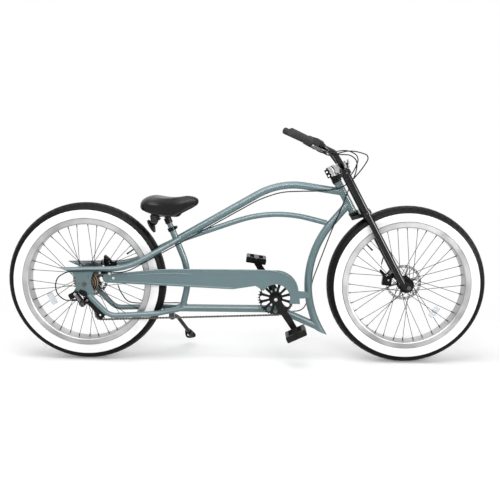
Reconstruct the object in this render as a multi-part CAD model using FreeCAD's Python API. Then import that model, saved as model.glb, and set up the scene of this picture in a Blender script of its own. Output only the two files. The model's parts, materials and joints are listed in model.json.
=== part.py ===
import FreeCAD, Part
import math
import os

V = FreeCAD.Vector
X_AXIS = V(1, 0, 0)
Y_AXIS = V(0, 1, 0)
Z_AXIS = V(0, 0, 1)
ORIGIN = V(0, 0, 0)

# A stretched cruiser bicycle. X points forward, Y to the rider's left, Z up, in millimetres.
# The origin is on the ground, midway between the wheel axles.

# Clearances
RUN = 0.06          # radial gap of a shaft that turns or slides in its bore
SEAT = 0.3          # gap between a moving piece and the face it runs against
FIT = 0.05          # radial gap of a piece that is pushed or clamped on

# Wheels
WHEELBASE = 1420.0
TYRE_R = 353.0
TYRE_HALF = 45.0
TYRE_BULGE_R = 318.0
TYRE_SHOULDER_R = 341.0
TYRE_SHOULDER_HALF = 35.0
TYRE_SIDE = 4.0
TUBE_WALL = 2.0
TYRE_TREAD = 7.0
RIM_R = 284.0
RIM_INNER_R = 258.0
RIM_HALF = 41.0
RIM_WALL = 2.5
BEAD_SEAT_R = 274.0
BEAD_WIDTH = 6.0
RIM_EDGE_R = 6.0
WELL_HALF = 28.0
SPOKES = 36
CROSSES = 3
SPOKE_R = 1.2
SPOKE_HOLE_R = 1.6
RIM_SPOKE_HALF = 8.0
NIPPLE_R = 2.1
NIPPLE_LENGTH = 13.0
NIPPLE_HEAD_R = 3.4
VALVE_R = 3.2
VALVE_LENGTH = 42.0
REAR_VALVE_ANGLE = 35.0
FRONT_VALVE_ANGLE = 135.0
REAR_REFLECTOR_ANGLE = 207.0
FRONT_REFLECTOR_ANGLE = 317.0
WHEEL_REFLECTOR_R = 182.0
WHEEL_REFLECTOR = V(58.0, 7.0, 26.0)

# Hubs and axles
AXLE_R = 5.0
FLANGE_R = 34.0
FLANGE_HOLES_R = 29.0
FLANGE_WIDTH = 3.6
FLANGE_Y = 29.0
HUB_R = 16.0
BEARING_R = 12.0
BEARING_WIDTH = 9.0
CONE_R = 9.0
NUT_R = 10.0
NUT_WIDTH = 9.0
FRONT_HALF = 54.0
REAR_HALF = 82.0
HUB_RIGHT = 50.0
REAR_HUB_RIGHT = 40.0
HUB_END = 6.0

# Disc brakes
ROTOR_R = 80.0
ROTOR_WIDTH = 2.0
ROTOR_RING = 12.0
ROTOR_ARMS = 6
ROTOR_ARM_WIDTH = 9.0
ROTOR_HUB_R = 27.0
ROTOR_HOLES = 24
ROTOR_HOLE_R = 2.6
FRONT_ROTOR_Y = 44.0
REAR_ROTOR_Y = 50.0
PAD_GAP = 1.2
CALIPER_DEPTH = 42.0
CALIPER_HALF = 22.0
CALIPER_INNER = 11.0
CALIPER_OUTER = 20.0
CALIPER_ARM = V(36, 0, -36)
CALIPER_PIN_R = 5.0
EYE_R = 6.0
ARM_OUTER = 8.0
FRONT_CALIPER_ANGLE = 174.0
REAR_CALIPER_ANGLE = 15.0

# Steering geometry, along and ahead of the steering axis
HEAD_ANGLE = 61.5
AXLE_DROP = 475.5
FORK_RAKE = 60.4
LEG_RAKE = 46.6
HEAD_LENGTH = 150.0
HEAD_R = 18.0
HEAD_BORE_R = 15.5
STEERER_R = 14.3
STEERER_WALL = 2.3
CUP_R = 22.0
CUP_HEIGHT = 14.0
CUP_DEPTH = 10.0
CROWN_HEIGHT = 18.0
CROWN_ROUND = 21.0
LEG_HALF = 69.0
LEG_R = 15.0
LEG_WALL = 2.5
LEG_TOP = 12.0
LUG_R = 18.0
LUG_LENGTH = 52.0
STEM_HEIGHT = 38.0
STEM_R = 21.0
STEM_REACH = 46.0
STEM_CLAMP_HALF = 24.0
STEM_BOLT_R = 5.0

# Handlebar, right-hand side, mirrored to the left
BAR_R = 12.7
GRIP_BAR_R = 11.1
BAR_WALL = 2.0
BAR_BEND = 50.0
BAR_FLAT_HALF = 50.0
BAR_KNEE = V(366, -105, 938)
BAR_END = V(174, -345, 1024)
GRIP_R = 16.5
GRIP_LENGTH = 128.0
GRIP_FLANGE_R = 20.0
TWIST_LENGTH = 46.0
TWIST_R = 22.0
SHIFTER_LENGTH = 30.0
SHIFTER_R = 24.0
CLAMP_R = 17.0
CLAMP_WIDTH = 20.0
LEVER_PIVOT_DROP = 36.0
LEVER_LENGTH = 112.0
LEVER_WIDTH = 13.0
LEVER_THICK = 6.0
LEVER_STATIONS = 10
LEVER_PIN_R = 3.0
EAR_R = 9.0
EAR_WIDTH = 4.0

# Frame tubes: outside diameters, walls, corner points and bend radii
TOP_OD = 33.0
MID_OD = 24.0
DOWN_OD = 35.0
BOTTOM_OD = 34.0
SEAT_OD = 29.0
STAY_OD = 24.0
WALL = 1.8
TOP_REAR = V(-309, 0, 544)
TOP_CORNER = V(142, 0, 804)
TOP_BEND = 320.0
TOP_FRONT_DROP = 35.0
MID_CORNER = V(111, 0, 685)
MID_REAR = V(-300, 0, 540)
MID_FRONT = V(352, 0, 625)
MID_BEND = 560.0
DOWN_HEAD_DROP = 23.0
DOWN_CORNER = V(184, 0, 402)
DOWN_TIP = V(352, 0, 105)
DOWN_BEND = 430.0
BOTTOM_REAR = V(-312, 0, 233)
BOTTOM_CORNER = V(142, 0, 233)
BOTTOM_SLOPE = 23.5
BOTTOM_RUN = 195.0
BOTTOM_BEND = 330.0
SEAT_ANGLE = 68.0
SEAT_TOP = V(-337, 0, 598)
SEAT_CORNER = V(-251, 0, 388)
SEAT_FOOT = V(-288, 0, 233)
SEAT_BEND = 300.0
UPPER_STAY = [V(-298, 6, 549), V(-404, 66, 492), V(-524, 78, 423), V(-818, 86, 415)]
LOWER_STAY = [V(-284, 5, 232), V(-398, 70, 221), V(-603, 82, 212), V(-692, 85, 304)]
STAY_BEND = 300.0
LOWER_STAY_BEND = 70.0
STAY_TIP_CUT = 58.0
END_CAP = 3.0

# Rear plates
PLATE = 6.0
PLATE_Y = REAR_HALF + PLATE
HANGER = V(-748, 0, 312)
HANGER_R = 12.0
HANGER_BOLT_R = 5.0
EYELET = V(-692, 0, 386)
EYELET_R = 2.6

# Drive
PITCH = 12.7
CHAIN_Y = -60.0
RING_TEETH = 38
COG_TEETH = [28, 24, 22, 20, 18, 16, 14]
CHAIN_COG = 3
COG_STEP = 5.0
COG_WIDTH = 1.8
COG_CORE_R = 19.0
PULLEY_TEETH = 11
RING_WIDTH = 1.9
RING_WINDOWS = 12
WINDOW_IN = 30.0
WINDOW_OUT = 60.0
WINDOW_END_R = 9.5
WINDOW_ROOT_R = 3.6
ROLLER_R = 3.9
ROLLER_GAP = 0.12
LINK_R = 4.2
LINK_PLATE = 1.0
ROLLER_HALF = 1.2
LINK_GAP = 0.1
PIN_R = 1.8
BRACKET = V(130, 0, 296)
CRANK_LENGTH = 165.0
CRANK_ANGLE = -57.7
CRANK_IN = 76.0
CRANK_THICK = 15.0
CRANK_BOSS_R = 18.0
CRANK_EYE_R = 13.0
SPINDLE_R = 8.0
SHELL_R = 21.0
SHELL_HALF = 48.0
SHELL_BORE_R = 17.5
STRUT_R = 15.0
PEDAL_PIN_R = 5.0
PEDAL = V(92, 98, 27)
PEDAL_BARREL_R = 11.0
RIGHT_PEDAL_TILT = 25.0
LEFT_PEDAL_TILT = -8.0
GUIDE = V(-702, 0, 277)
CAGE_LENGTH = 86.0
CAGE_START_ANGLE = -52.0
CAGE_PIVOT = V(-716, 0, 270)
CAGE_PLATE = 1.5
CAGE_HALF = 4.6
PULLEY_PIN_R = 3.0
KNUCKLE_R = 13.0
KNUCKLE_WIDTH = 16.0

# Chain guard, a pressed plate outboard of the chainring
GUARD_Y = -69.0
GUARD_PLATE = 1.6
GUARD_LIP = 7.0
GUARD_REAR = V(-612, 0, 378)
GUARD_REAR_R = 20.0
GUARD_TOP = V(133, 0, 421)
GUARD_NOSE_R = 97.0
GUARD_CHIN = V(238, 0, 272)
GUARD_BELLY = V(-60, 0, 335)
GUARD_WINDOW_R = 63.0

# Seat
POST_R = 12.7
POST_TOP = V(-353.5, 0, 639)
POST_INSERT = 92.0
COLLAR_R = 18.5
COLLAR_HEIGHT = 16.0
RAIL_R = 3.6
RAIL_HALF = 22.0
RAIL_Z = 650.0
# Saddle sections: place along X, width, lower edge, shoulder and crown heights
SADDLE = [(-471, 118, 689, 700, 714), (-452, 188, 668, 703, 733), (-416, 226, 657, 704, 741),
          (-370, 196, 647, 700, 734), (-328, 124, 642, 696, 729), (-288, 76, 662, 702, 733),
          (-250, 58, 684, 712, 741), (-224, 48, 693, 714, 737), (-212, 26, 703, 714, 726)]
SADDLE_SKIRT = 12.0
SADDLE_ROOF = 30.0
REFLECTOR_R = 31.0
REFLECTOR_DEPTH = 13.0
REAR_REFLECTOR_AT = V(-428, 0, 600)
REAR_REFLECTOR_TILT = 30.0
FRONT_REFLECTOR_R = 26.0

# Kickstand, swung out to the left
STAND_PIVOT = V(-338, 34, 196)
STAND_AXIS = V(-0.125, 0.851, 0.511)
STAND_KNEE = V(-318, 92, 168)
STAND_FOOT = V(-268, 230, 50)
STAND_R = 9.0
STAND_PIN_R = 5.0
STAND_BOSS_R = 12.0
STAND_PLATE = V(52, 86, 5)
STAND_PLATE_AT = V(-342, 0, 219)
STAND_HOLE_R = 3.2
STAND_HOLE_STEP = 26.0
STAND_HOLES_X = -3.0
STAND_HOLES_Y = -10.4

# Cables: the points each route turns at, after its start on the handlebar
CABLE_R = 2.5
WIRE_R = 0.8
WIRE_LENGTH = 31.0
ARC_SHARE = 0.45
SPOUT = 26.0
OUTLET = 34.0
OUTLET_R = 4.5
SHIFT_ROUTE = [V(340, -150, 926), V(440, -95, 950), V(527, -60, 925), V(500, -40, 872), V(455, -31, 815),
               V(408, -27, 782), V(322, -21, 767), V(236, -9, 765), V(150, 0, 760), V(55, 0, 728),
               V(-110, 0, 634), V(-190, -20, 590), V(-300, -25, 528), V(-404, -66, 474), V(-535, -84, 402),
               V(-640, -102, 417), V(-776, -101, 413), V(-824, -99, 386), V(-836, -97, 347),
               V(-826, -96.5, 306), V(-792, -96.4, 281), V(-762, -96.4, 283)]
REAR_BRAKE_ROUTE = [V(375, -144, 932), V(440, -75, 928), V(474, -50, 902), V(470, -43, 850), V(446, -42, 795),
                    V(414, -37, 702), V(372, -12, 590), V(293, 7, 358), V(291, 25, 300), V(256, 22, 222),
                    V(196, 20.5, 216), V(110, 20.3, 236), V(-240, 20.3, 237), V(-292, 22, 251),
                    V(-398, 70, 238), V(-500, 77, 233.5), V(-550, 78, 240), V(-582, 79.2, 290)]
FRONT_BRAKE_ROUTE = [V(375, 144, 932), V(448, 96, 944), V(500, 86, 915), V(478, 93, 850), V(445, 93.5, 808),
                     V(627, 93.5, 474), V(614, 73.2, 438)]
FRONT_LENS = V(9, 40, 36)
GUARD_TAB = V(16, 6, 26)

REAR_AXLE = V(-WHEELBASE / 2, 0, TYRE_R)
FRONT_AXLE = V(WHEELBASE / 2, 0, TYRE_R)
STEER_TILT = 90.0 - HEAD_ANGLE
STEER_UP = V(-math.sin(math.radians(STEER_TILT)), 0, math.cos(math.radians(STEER_TILT)))
STEER_AHEAD = V(math.cos(math.radians(STEER_TILT)), 0, math.sin(math.radians(STEER_TILT)))
HEAD_CENTRE = FRONT_AXLE + STEER_UP * AXLE_DROP - STEER_AHEAD * FORK_RAKE
STEERING = FreeCAD.Placement(HEAD_CENTRE, FreeCAD.Rotation(Y_AXIS, -STEER_TILT))
CUP_TOP = HEAD_LENGTH / 2 + CUP_HEIGHT
TOP_CROWN_Z = CUP_TOP + SEAT
LOWER_CROWN_Z = -CUP_TOP - SEAT - CROWN_HEIGHT
STEM_Z = TOP_CROWN_Z + CROWN_HEIGHT
BAR_Z = STEM_Z + STEM_HEIGHT / 2 + 2.5
CASSETTE_END = -CHAIN_Y + (len(COG_TEETH) - 1 - CHAIN_COG) * COG_STEP + 2


# Geometry helpers

def unit(vector):
    return FreeCAD.Vector(vector).normalize()


def mirrored(shape):
    """The same shape on the other side of the bicycle."""
    return shape.mirror(ORIGIN, Y_AXIS)


def pair(shape):
    return [shape, mirrored(shape)]


def largest(shape):
    return max(shape.Solids, key=lambda solid: solid.Volume)


def fused(shapes):
    return shapes[0].multiFuse(shapes[1:]).removeSplitter()


def in_steering(shape):
    """Move a shape from the steering axis' own frame, with Z up along that axis."""
    moved = shape.copy()
    moved.Placement = STEERING.multiply(moved.Placement)
    return moved


def bar(start, end, radius):
    return Part.makeCylinder(radius, start.distanceToPoint(end), start, end - start)


def ring(start, end, outer, inner):
    return bar(start, end, outer).cut(bar(start, end, inner))


def lathe(points, centre=ORIGIN):
    """Turn an outline of (y, radius) points about the Y axis through centre."""
    corners = [V(radius, y, 0) for y, radius in points]
    face = Part.Face(Part.makePolygon(corners + corners[:1]))
    return face.revolve(ORIGIN, Y_AXIS, 360).translated(centre)


def flat(start, moves):
    """A face in the XZ plane. A move is an end point, or a (through, end) pair for an arc."""
    edges = []
    cursor = start
    for move in moves:
        if isinstance(move, tuple):
            edges.append(Part.Arc(cursor, move[0], move[1]).toShape())
            cursor = move[1]
        else:
            edges.append(Part.LineSegment(cursor, move).toShape())
            cursor = move
    return Part.Face(Part.Wire(edges))


def plate(face, y_low, y_high):
    return face.translated(V(0, y_low, 0)).extrude(V(0, y_high - y_low, 0))


def capsule(a, b, radius_a, radius_b):
    """A flat outline round two circles in the XZ plane, with tangent sides."""
    along = unit(b - a)
    side = V(-along.z, 0, along.x)
    lean = math.asin((radius_a - radius_b) / a.distanceToPoint(b))
    left = along * math.sin(lean) + side * math.cos(lean)
    right = along * math.sin(lean) - side * math.cos(lean)
    return flat(a + left * radius_a, [(a - along * radius_a, a + right * radius_a),
                                      b + right * radius_b,
                                      (b + along * radius_b, b + left * radius_b),
                                      a + left * radius_a])


def round_hole(centre, radius):
    return Part.Face(Part.Wire(Part.makeCircle(radius, centre, Y_AXIS)))


def route(points, bend=None):
    """Straight runs joined by tangent arcs. With no bend radius, arcs are as wide as the runs allow."""
    edges = []
    cursor = points[0]
    for before, corner, after in zip(points, points[1:], points[2:]):
        back = unit(before - corner)
        ahead = unit(after - corner)
        half_turn = (math.pi - back.getAngle(ahead)) / 2
        room = ARC_SHARE * min(before.distanceToPoint(corner), after.distanceToPoint(corner))
        reach = bend * math.tan(half_turn) if bend else room
        radius = reach / math.tan(half_turn)
        crest = corner + unit(back + ahead) * (radius / math.cos(half_turn) - radius)
        edges.append(Part.LineSegment(cursor, corner + back * reach).toShape())
        edges.append(Part.Arc(corner + back * reach, crest, corner + ahead * reach).toShape())
        cursor = corner + ahead * reach
    edges.append(Part.LineSegment(cursor, points[-1]).toShape())
    return Part.Wire(edges)


def sweep(path, radius):
    first = path.OrderedEdges[0]
    start = first.valueAt(first.FirstParameter)
    section = Part.Wire(Part.makeCircle(radius, start, first.tangentAt(first.FirstParameter)))
    return path.makePipeShell([section], True, False)


def hollow(points, bend, od, cap_start=0.0, cap_end=0.0):
    """A bent tube: its outer solid, for coping its neighbours, and the tube itself."""
    outer = sweep(route(points, bend), od / 2)
    inner_points = list(points)
    inner_points[0] = points[0] + unit(points[1] - points[0]) * cap_start
    inner_points[-1] = points[-1] + unit(points[-2] - points[-1]) * cap_end
    inner = sweep(route(inner_points, bend), od / 2 - WALL)
    return outer, outer.cut(inner)


def coped(tube, *others):
    return largest(tube.cut(list(others)))


# Frame

def frame_tubes():
    """The welded main frame, each tube coped against those it meets."""
    head_low = HEAD_CENTRE - STEER_UP * (HEAD_LENGTH / 2)
    head_high = HEAD_CENTRE + STEER_UP * (HEAD_LENGTH / 2)
    head_outer = bar(head_low, head_high, HEAD_R)
    head = head_outer.cut(bar(head_low, head_high, HEAD_BORE_R))

    top_front = HEAD_CENTRE + STEER_UP * (HEAD_LENGTH / 2 - TOP_FRONT_DROP - TOP_OD / 2)
    top_outer, top = hollow([TOP_REAR, TOP_CORNER, top_front], TOP_BEND, TOP_OD)
    down_head = HEAD_CENTRE - STEER_UP * (HEAD_LENGTH / 2 - DOWN_HEAD_DROP - DOWN_OD / 2)
    down_path = route([down_head, DOWN_CORNER, DOWN_TIP], DOWN_BEND)
    down_outer = sweep(down_path, DOWN_OD / 2)
    mid_outer, mid = hollow([MID_REAR, MID_CORNER, MID_FRONT], MID_BEND, MID_OD)
    slope = math.radians(BOTTOM_SLOPE)
    fall = V(math.cos(slope), 0, -math.sin(slope))
    bottom_front = BOTTOM_CORNER + fall * BOTTOM_RUN
    bottom_outer, bottom = hollow([BOTTOM_REAR, BOTTOM_CORNER, bottom_front], BOTTOM_BEND,
                                  BOTTOM_OD, END_CAP)
    post_outer = bar(SEAT_TOP, SEAT_CORNER, POST_R + RUN)
    seat_outer, seat = hollow([SEAT_TOP, SEAT_CORNER, SEAT_FOOT], SEAT_BEND, SEAT_OD)
    seat_bore = bar(SEAT_TOP, SEAT_TOP + unit(SEAT_CORNER - SEAT_TOP) * (POST_INSERT + END_CAP),
                    POST_R + RUN)

    under = V(fall.z, 0, -fall.x)
    sole = BOTTOM_CORNER + under * (BOTTOM_OD / 2)
    ground = Part.Face(Part.makePolygon([sole - fall * 300, sole + fall * 500,
                                         sole + fall * 500 + under * 200,
                                         sole - fall * 300 + under * 200, sole - fall * 300]))
    below = plate(ground, -DOWN_OD, DOWN_OD)
    down_bore = sweep(down_path, DOWN_OD / 2 - WALL).cut(below.translated(under * -END_CAP))
    down = down_outer.cut(largest(down_bore))

    stays, stay_outers = rear_stays([seat_outer, top_outer, mid_outer, bottom_outer])
    tubes = {
        "head_tube": head,
        "top_tube": coped(top, head_outer, seat_outer),
        "mid_tube": coped(mid, down_outer, top_outer, seat_outer),
        "down_tube": coped(coped(down, below), head_outer),
        "bottom_tube": coped(bottom, down_outer),
        "seat_tube": coped(seat.cut(seat_bore), bottom_outer),
        "rear_stays": Part.makeCompound(stays + stand_plate(stay_outers)),
        "dropouts": Part.makeCompound(dropouts(stay_outers)),
        "bottom_bracket": bracket_shell(bottom_outer),
    }
    return tubes, stay_outers, down_outer


def rear_stays(neighbours):
    """Two upper stays with slanted, pointed tails and two lower stays, splayed round the tyre."""
    upper_outer, upper = hollow(UPPER_STAY, STAY_BEND, STAY_OD, 0, STAY_TIP_CUT + END_CAP)
    tail = UPPER_STAY[-1]
    radius = STAY_OD / 2
    wedge = Part.Face(Part.makePolygon([tail + V(-1, 0, radius), tail + V(STAY_TIP_CUT, 0, -radius - 1),
                                        tail + V(-1, 0, -radius - 1), tail + V(-1, 0, radius)]))
    slant = wedge.translated(V(0, -STAY_OD, 0)).extrude(V(0, 2 * STAY_OD, 0))
    lower_outer, lower = hollow(LOWER_STAY, LOWER_STAY_BEND, STAY_OD)
    shapes = []
    outers = []
    for turn in (lambda shape: shape, mirrored):
        shapes.append(coped(turn(upper.cut(slant)), *neighbours))
        shapes.append(coped(turn(lower), *neighbours))
        outers += [turn(upper_outer), turn(lower_outer)]
    return shapes, outers


def stand_plate(stay_outers):
    """The drilled plate between the lower stays, with the kickstand's bracket and pin under it."""
    corner = STAND_PLATE_AT - V(STAND_PLATE.x / 2, STAND_PLATE.y / 2, 0)
    slab = Part.makeBox(STAND_PLATE.x, STAND_PLATE.y, STAND_PLATE.z, corner)
    for step in (-0.5, 0.5):
        hole = STAND_PLATE_AT + V(STAND_HOLES_X + step * STAND_HOLE_STEP, STAND_HOLES_Y, -1)
        slab = slab.cut(Part.makeCylinder(STAND_HOLE_R, STAND_PLATE.z + 2, hole))
    axis = unit(STAND_AXIS)
    inner = STAND_PIVOT - axis * (STAND_BOSS_R + SEAT)
    lug = Part.makeCylinder(STAND_BOSS_R, 14, inner, axis * -1)
    pin = bar(inner, STAND_PIVOT + axis * (STAND_BOSS_R + 2), STAND_PIN_R)
    pillar = Part.makeBox(24, 20, STAND_PLATE_AT.z - inner.z + 6, V(inner.x - 12, -6, inner.z - 6))
    return [fused([coped(slab, *stay_outers), lug, pin, pillar])]


def dropouts(stay_outers):
    """Flat rear plates with a slot for the axle. The right one carries the gear hanger."""
    axle = REAR_AXLE
    outline = flat(V(-770, 0, 408), [(V(-752, 0, 390), V(-747, 0, 362)), V(-748, 0, 322),
                                     V(-700, 0, 300), V(-662, 0, 318),
                                     (V(-680, 0, 362), V(-668, 0, 408)), V(-770, 0, 408)])
    slot = flat(axle + V(-60, 0, AXLE_R + FIT), [axle + V(0, 0, AXLE_R + FIT),
                                                 (axle + V(AXLE_R + FIT, 0, 0), axle - V(0, 0, AXLE_R + FIT)),
                                                 axle + V(-60, 0, -AXLE_R - FIT),
                                                 axle + V(-60, 0, AXLE_R + FIT)])
    cheek = plate(outline.cut(slot).cut(round_hole(EYELET, EYELET_R)), REAR_HALF, PLATE_Y)
    hanger = plate(capsule(HANGER, HANGER + V(14, 0, 26), HANGER_R, HANGER_R), -PLATE_Y, -REAR_HALF)
    hanger = hanger.cut(plate(slot, -PLATE_Y, -REAR_HALF))
    bolt_hole = plate(round_hole(HANGER, HANGER_BOLT_R + FIT), -PLATE_Y, -REAR_HALF)
    right = coped(fused([mirrored(cheek), hanger]).cut(bolt_hole), *stay_outers)
    return [right, coped(cheek, *stay_outers)]


def bracket_shell(bottom_outer):
    """The crank bearing's shell on its short strut above the bottom tube."""
    shell = bar(BRACKET - Y_AXIS * SHELL_HALF, BRACKET + Y_AXIS * SHELL_HALF, SHELL_R)
    strut = bar(BRACKET, V(BRACKET.x, 0, BOTTOM_CORNER.z), STRUT_R)
    bore = bar(BRACKET - Y_AXIS * SHELL_HALF, BRACKET + Y_AXIS * SHELL_HALF, SHELL_BORE_R)
    return coped(fused([shell, strut]), bore, bottom_outer)


def bearing_cups():
    """Headset cups in the head tube's ends and crank bearing cups in the bracket shell."""
    half = HEAD_LENGTH / 2
    upper = Part.makeCylinder(CUP_R, CUP_HEIGHT, V(0, 0, half))
    sleeve = Part.makeCylinder(HEAD_BORE_R - FIT, CUP_DEPTH, V(0, 0, half - CUP_DEPTH))
    bore = Part.makeCylinder(STEERER_R + RUN, CUP_HEIGHT + CUP_DEPTH, V(0, 0, half - CUP_DEPTH))
    rounded = upper.makeFillet(4.0, [upper.Edges[0]])
    cup = fused([rounded, sleeve]).cut(bore)
    headset = [in_steering(cup), in_steering(cup.mirror(ORIGIN, Z_AXIS))]
    inside = BRACKET + Y_AXIS * (SHELL_HALF - 20)
    outside = BRACKET + Y_AXIS * (SHELL_HALF + 3)
    insert = ring(inside, BRACKET + Y_AXIS * SHELL_HALF, SHELL_BORE_R - FIT, SPINDLE_R + RUN)
    flange = ring(BRACKET + Y_AXIS * SHELL_HALF, outside, SHELL_R, SPINDLE_R + RUN)
    return Part.makeCompound(headset + pair(fused([insert, flange])))


def chain_guard(down_outer, stay_outers):
    """A long pressed plate with a turned-in upper lip and a round window over the chainring."""
    nose = GUARD_TOP - V(0, 0, GUARD_NOSE_R)
    lean = math.radians(10)
    brow = nose + V(math.cos(lean), 0, math.sin(lean)) * GUARD_NOSE_R
    crest = nose + V(math.cos(math.radians(50)), 0, math.sin(math.radians(50))) * GUARD_NOSE_R
    tail_high = GUARD_REAR + V(0, 0, GUARD_REAR_R)
    tail_low = GUARD_REAR - V(0, 0, GUARD_REAR_R)
    outline = flat(tail_high, [GUARD_TOP, (crest, brow), GUARD_CHIN, V(BRACKET.x + 55, 0, GUARD_CHIN.z),
                               BRACKET, V(BRACKET.x - 90, 0, GUARD_BELLY.z + 16), GUARD_BELLY, tail_low,
                               (GUARD_REAR - V(GUARD_REAR_R, 0, 0), tail_high)])
    sheet = plate(outline.cut(round_hole(BRACKET, GUARD_WINDOW_R)), GUARD_Y - GUARD_PLATE, GUARD_Y)
    lip_face = flat(tail_high, [GUARD_TOP, (crest, brow), brow - unit(brow - nose) * GUARD_PLATE,
                                (crest - unit(crest - nose) * GUARD_PLATE, GUARD_TOP - V(0, 0, GUARD_PLATE)),
                                tail_high - V(0, 0, GUARD_PLATE), tail_high])
    lip = plate(lip_face, GUARD_Y - GUARD_PLATE, GUARD_Y + GUARD_LIP)
    tab_at = GUARD_REAR + V(4, GUARD_Y - GUARD_PLATE - GUARD_TAB.y, GUARD_REAR_R - 12)
    tab = Part.makeBox(GUARD_TAB.x, GUARD_TAB.y, GUARD_TAB.z, tab_at)
    shell = coped(fused([largest(sheet), lip, tab]), *stay_outers)
    front = brow - V(4, 0, 28)
    link = flat(front + V(0, 0, 18), [V(BRACKET.x + 145, 0, front.z + 14), V(BRACKET.x + 145, 0, front.z - 14),
                                      front - V(0, 0, 18), front + V(0, 0, 18)])
    bracket = plate(link, GUARD_Y, GUARD_Y + GUARD_PLATE)
    reach = Part.makeBox(GUARD_PLATE * 2, -GUARD_Y, 24, V(BRACKET.x + 143, GUARD_Y, front.z - 12))
    arm = coped(fused([bracket, reach]), down_outer)
    return Part.makeCompound([shell, arm])


# Wheels

def wheel_parts(axle, front):
    """Tyre, inner tube, rim, spokes, hub, rotor and reflector of one wheel."""
    name = "front" if front else "rear"
    valve = FRONT_VALVE_ANGLE if front else REAR_VALVE_ANGLE
    half = HUB_RIGHT if front else REAR_HUB_RIGHT
    rotor_y = FRONT_ROTOR_Y if front else REAR_ROTOR_Y
    reflector = FRONT_REFLECTOR_ANGLE if front else REAR_REFLECTOR_ANGLE
    shapes = {
        "tyre": tyre(),
        "inner_tube": inner_tube(valve),
        "rim": rim(valve),
        "spokes": spokes(),
        "hub": hub(half, rotor_y),
        "rotor": rotor(rotor_y),
        "wheel_reflector": wheel_reflector(reflector),
    }
    return {name + "_" + key: shape.translated(axle) for key, shape in shapes.items()}


def lathe_face(edges):
    return Part.Face(Part.Wire(edges)).revolve(ORIGIN, Y_AXIS, 360)


def tyre():
    """A balloon tyre, open at its beads, with bulged side walls and a rounded tread."""
    bead_out = RIM_HALF - RIM_WALL - FIT
    bead_in = bead_out - BEAD_WIDTH
    skin = [V(RIM_R + 3, bead_out, 0), V(TYRE_BULGE_R, TYRE_HALF, 0),
            V(TYRE_SHOULDER_R, TYRE_SHOULDER_HALF, 0), V(TYRE_R, 0, 0)]
    lining = [V(RIM_R + 3, bead_in, 0), V(TYRE_BULGE_R, TYRE_HALF - TYRE_SIDE, 0),
              V(TYRE_SHOULDER_R - TYRE_SIDE, TYRE_SHOULDER_HALF - TYRE_SIDE, 0), V(TYRE_R - TYRE_TREAD, 0, 0)]
    flip = lambda point: V(point.x, -point.y, 0)
    toe_out = V(BEAD_SEAT_R + FIT, bead_out, 0)
    toe_in = V(BEAD_SEAT_R + FIT, bead_in, 0)
    line = lambda a, b: Part.LineSegment(a, b).toShape()
    arc = lambda a, b, c: Part.Arc(a, b, c).toShape()
    edges = [line(toe_in, toe_out), line(toe_out, skin[0]), arc(skin[0], skin[1], skin[2]),
             arc(skin[2], skin[3], flip(skin[2])), arc(flip(skin[2]), flip(skin[1]), flip(skin[0])),
             line(flip(skin[0]), flip(toe_out)), line(flip(toe_out), flip(toe_in)),
             line(flip(toe_in), flip(lining[0])), arc(flip(lining[0]), flip(lining[1]), flip(lining[2])),
             arc(flip(lining[2]), lining[3], lining[2]), arc(lining[2], lining[1], lining[0]),
             line(lining[0], toe_in)]
    return lathe_face(edges)


def inner_tube(valve_angle):
    """The air tube inside the tyre, with its valve through the rim."""
    core = (BEAD_SEAT_R + TYRE_R - TYRE_TREAD) / 2 + 4
    girth = TYRE_HALF - TYRE_SIDE - 13
    tube = Part.makeTorus(core, girth, ORIGIN, Y_AXIS)
    out = V(math.cos(math.radians(valve_angle)), 0, math.sin(math.radians(valve_angle)))
    stem = bar(out * (RIM_INNER_R - VALVE_LENGTH), out * core, VALVE_R)
    air = Part.makeTorus(core, girth - TUBE_WALL, ORIGIN, Y_AXIS)
    return fused([tube, stem]).cut(air)


def rim(valve_angle):
    """A wide single-wall rim with bead seats, rounded inner edges, spoke holes and a valve hole."""
    wall = RIM_HALF - RIM_WALL
    floor = RIM_INNER_R + RIM_WALL
    edge = RIM_EDGE_R * (1 - math.sqrt(0.5))
    points = [V(RIM_R, RIM_HALF, 0), V(RIM_INNER_R + RIM_EDGE_R, RIM_HALF, 0),
              V(RIM_INNER_R + edge, RIM_HALF - edge, 0), V(RIM_INNER_R, RIM_HALF - RIM_EDGE_R, 0)]
    well = [V(RIM_R, wall, 0), V(BEAD_SEAT_R, wall, 0), V(BEAD_SEAT_R, WELL_HALF + 3, 0), V(floor, WELL_HALF, 0)]
    flip = lambda point: V(point.x, -point.y, 0)
    chain = [points[3], flip(points[3])]
    edges = [Part.LineSegment(*chain).toShape(), Part.Arc(flip(points[3]), flip(points[2]), flip(points[1])).toShape()]
    outline = [flip(points[1]), flip(points[0])] + [flip(point) for point in well]
    outline += well[::-1] + [points[0], points[1]]
    edges += [Part.LineSegment(a, b).toShape() for a, b in zip(outline, outline[1:])]
    edges.append(Part.Arc(points[1], points[2], points[3]).toShape())
    body = lathe_face(edges)
    holes = []
    for index in range(SPOKES):
        side = -RIM_SPOKE_HALF if index % 2 == 0 else RIM_SPOKE_HALF
        hole = bar(V(RIM_INNER_R - 8, side, 0), V(floor + 8, side, 0), NIPPLE_R + 0.5)
        holes.append(hole.rotated(ORIGIN, Y_AXIS, -index * 360.0 / SPOKES))
    valve = bar(V(RIM_INNER_R - 8, 0, 0), V(floor + 8, 0, 0), VALVE_R + SEAT)
    holes.append(valve.rotated(ORIGIN, Y_AXIS, -valve_angle))
    return body.cut(holes)


def polar(radius, degrees, y):
    angle = math.radians(degrees)
    return V(radius * math.cos(angle), y, radius * math.sin(angle))


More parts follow.
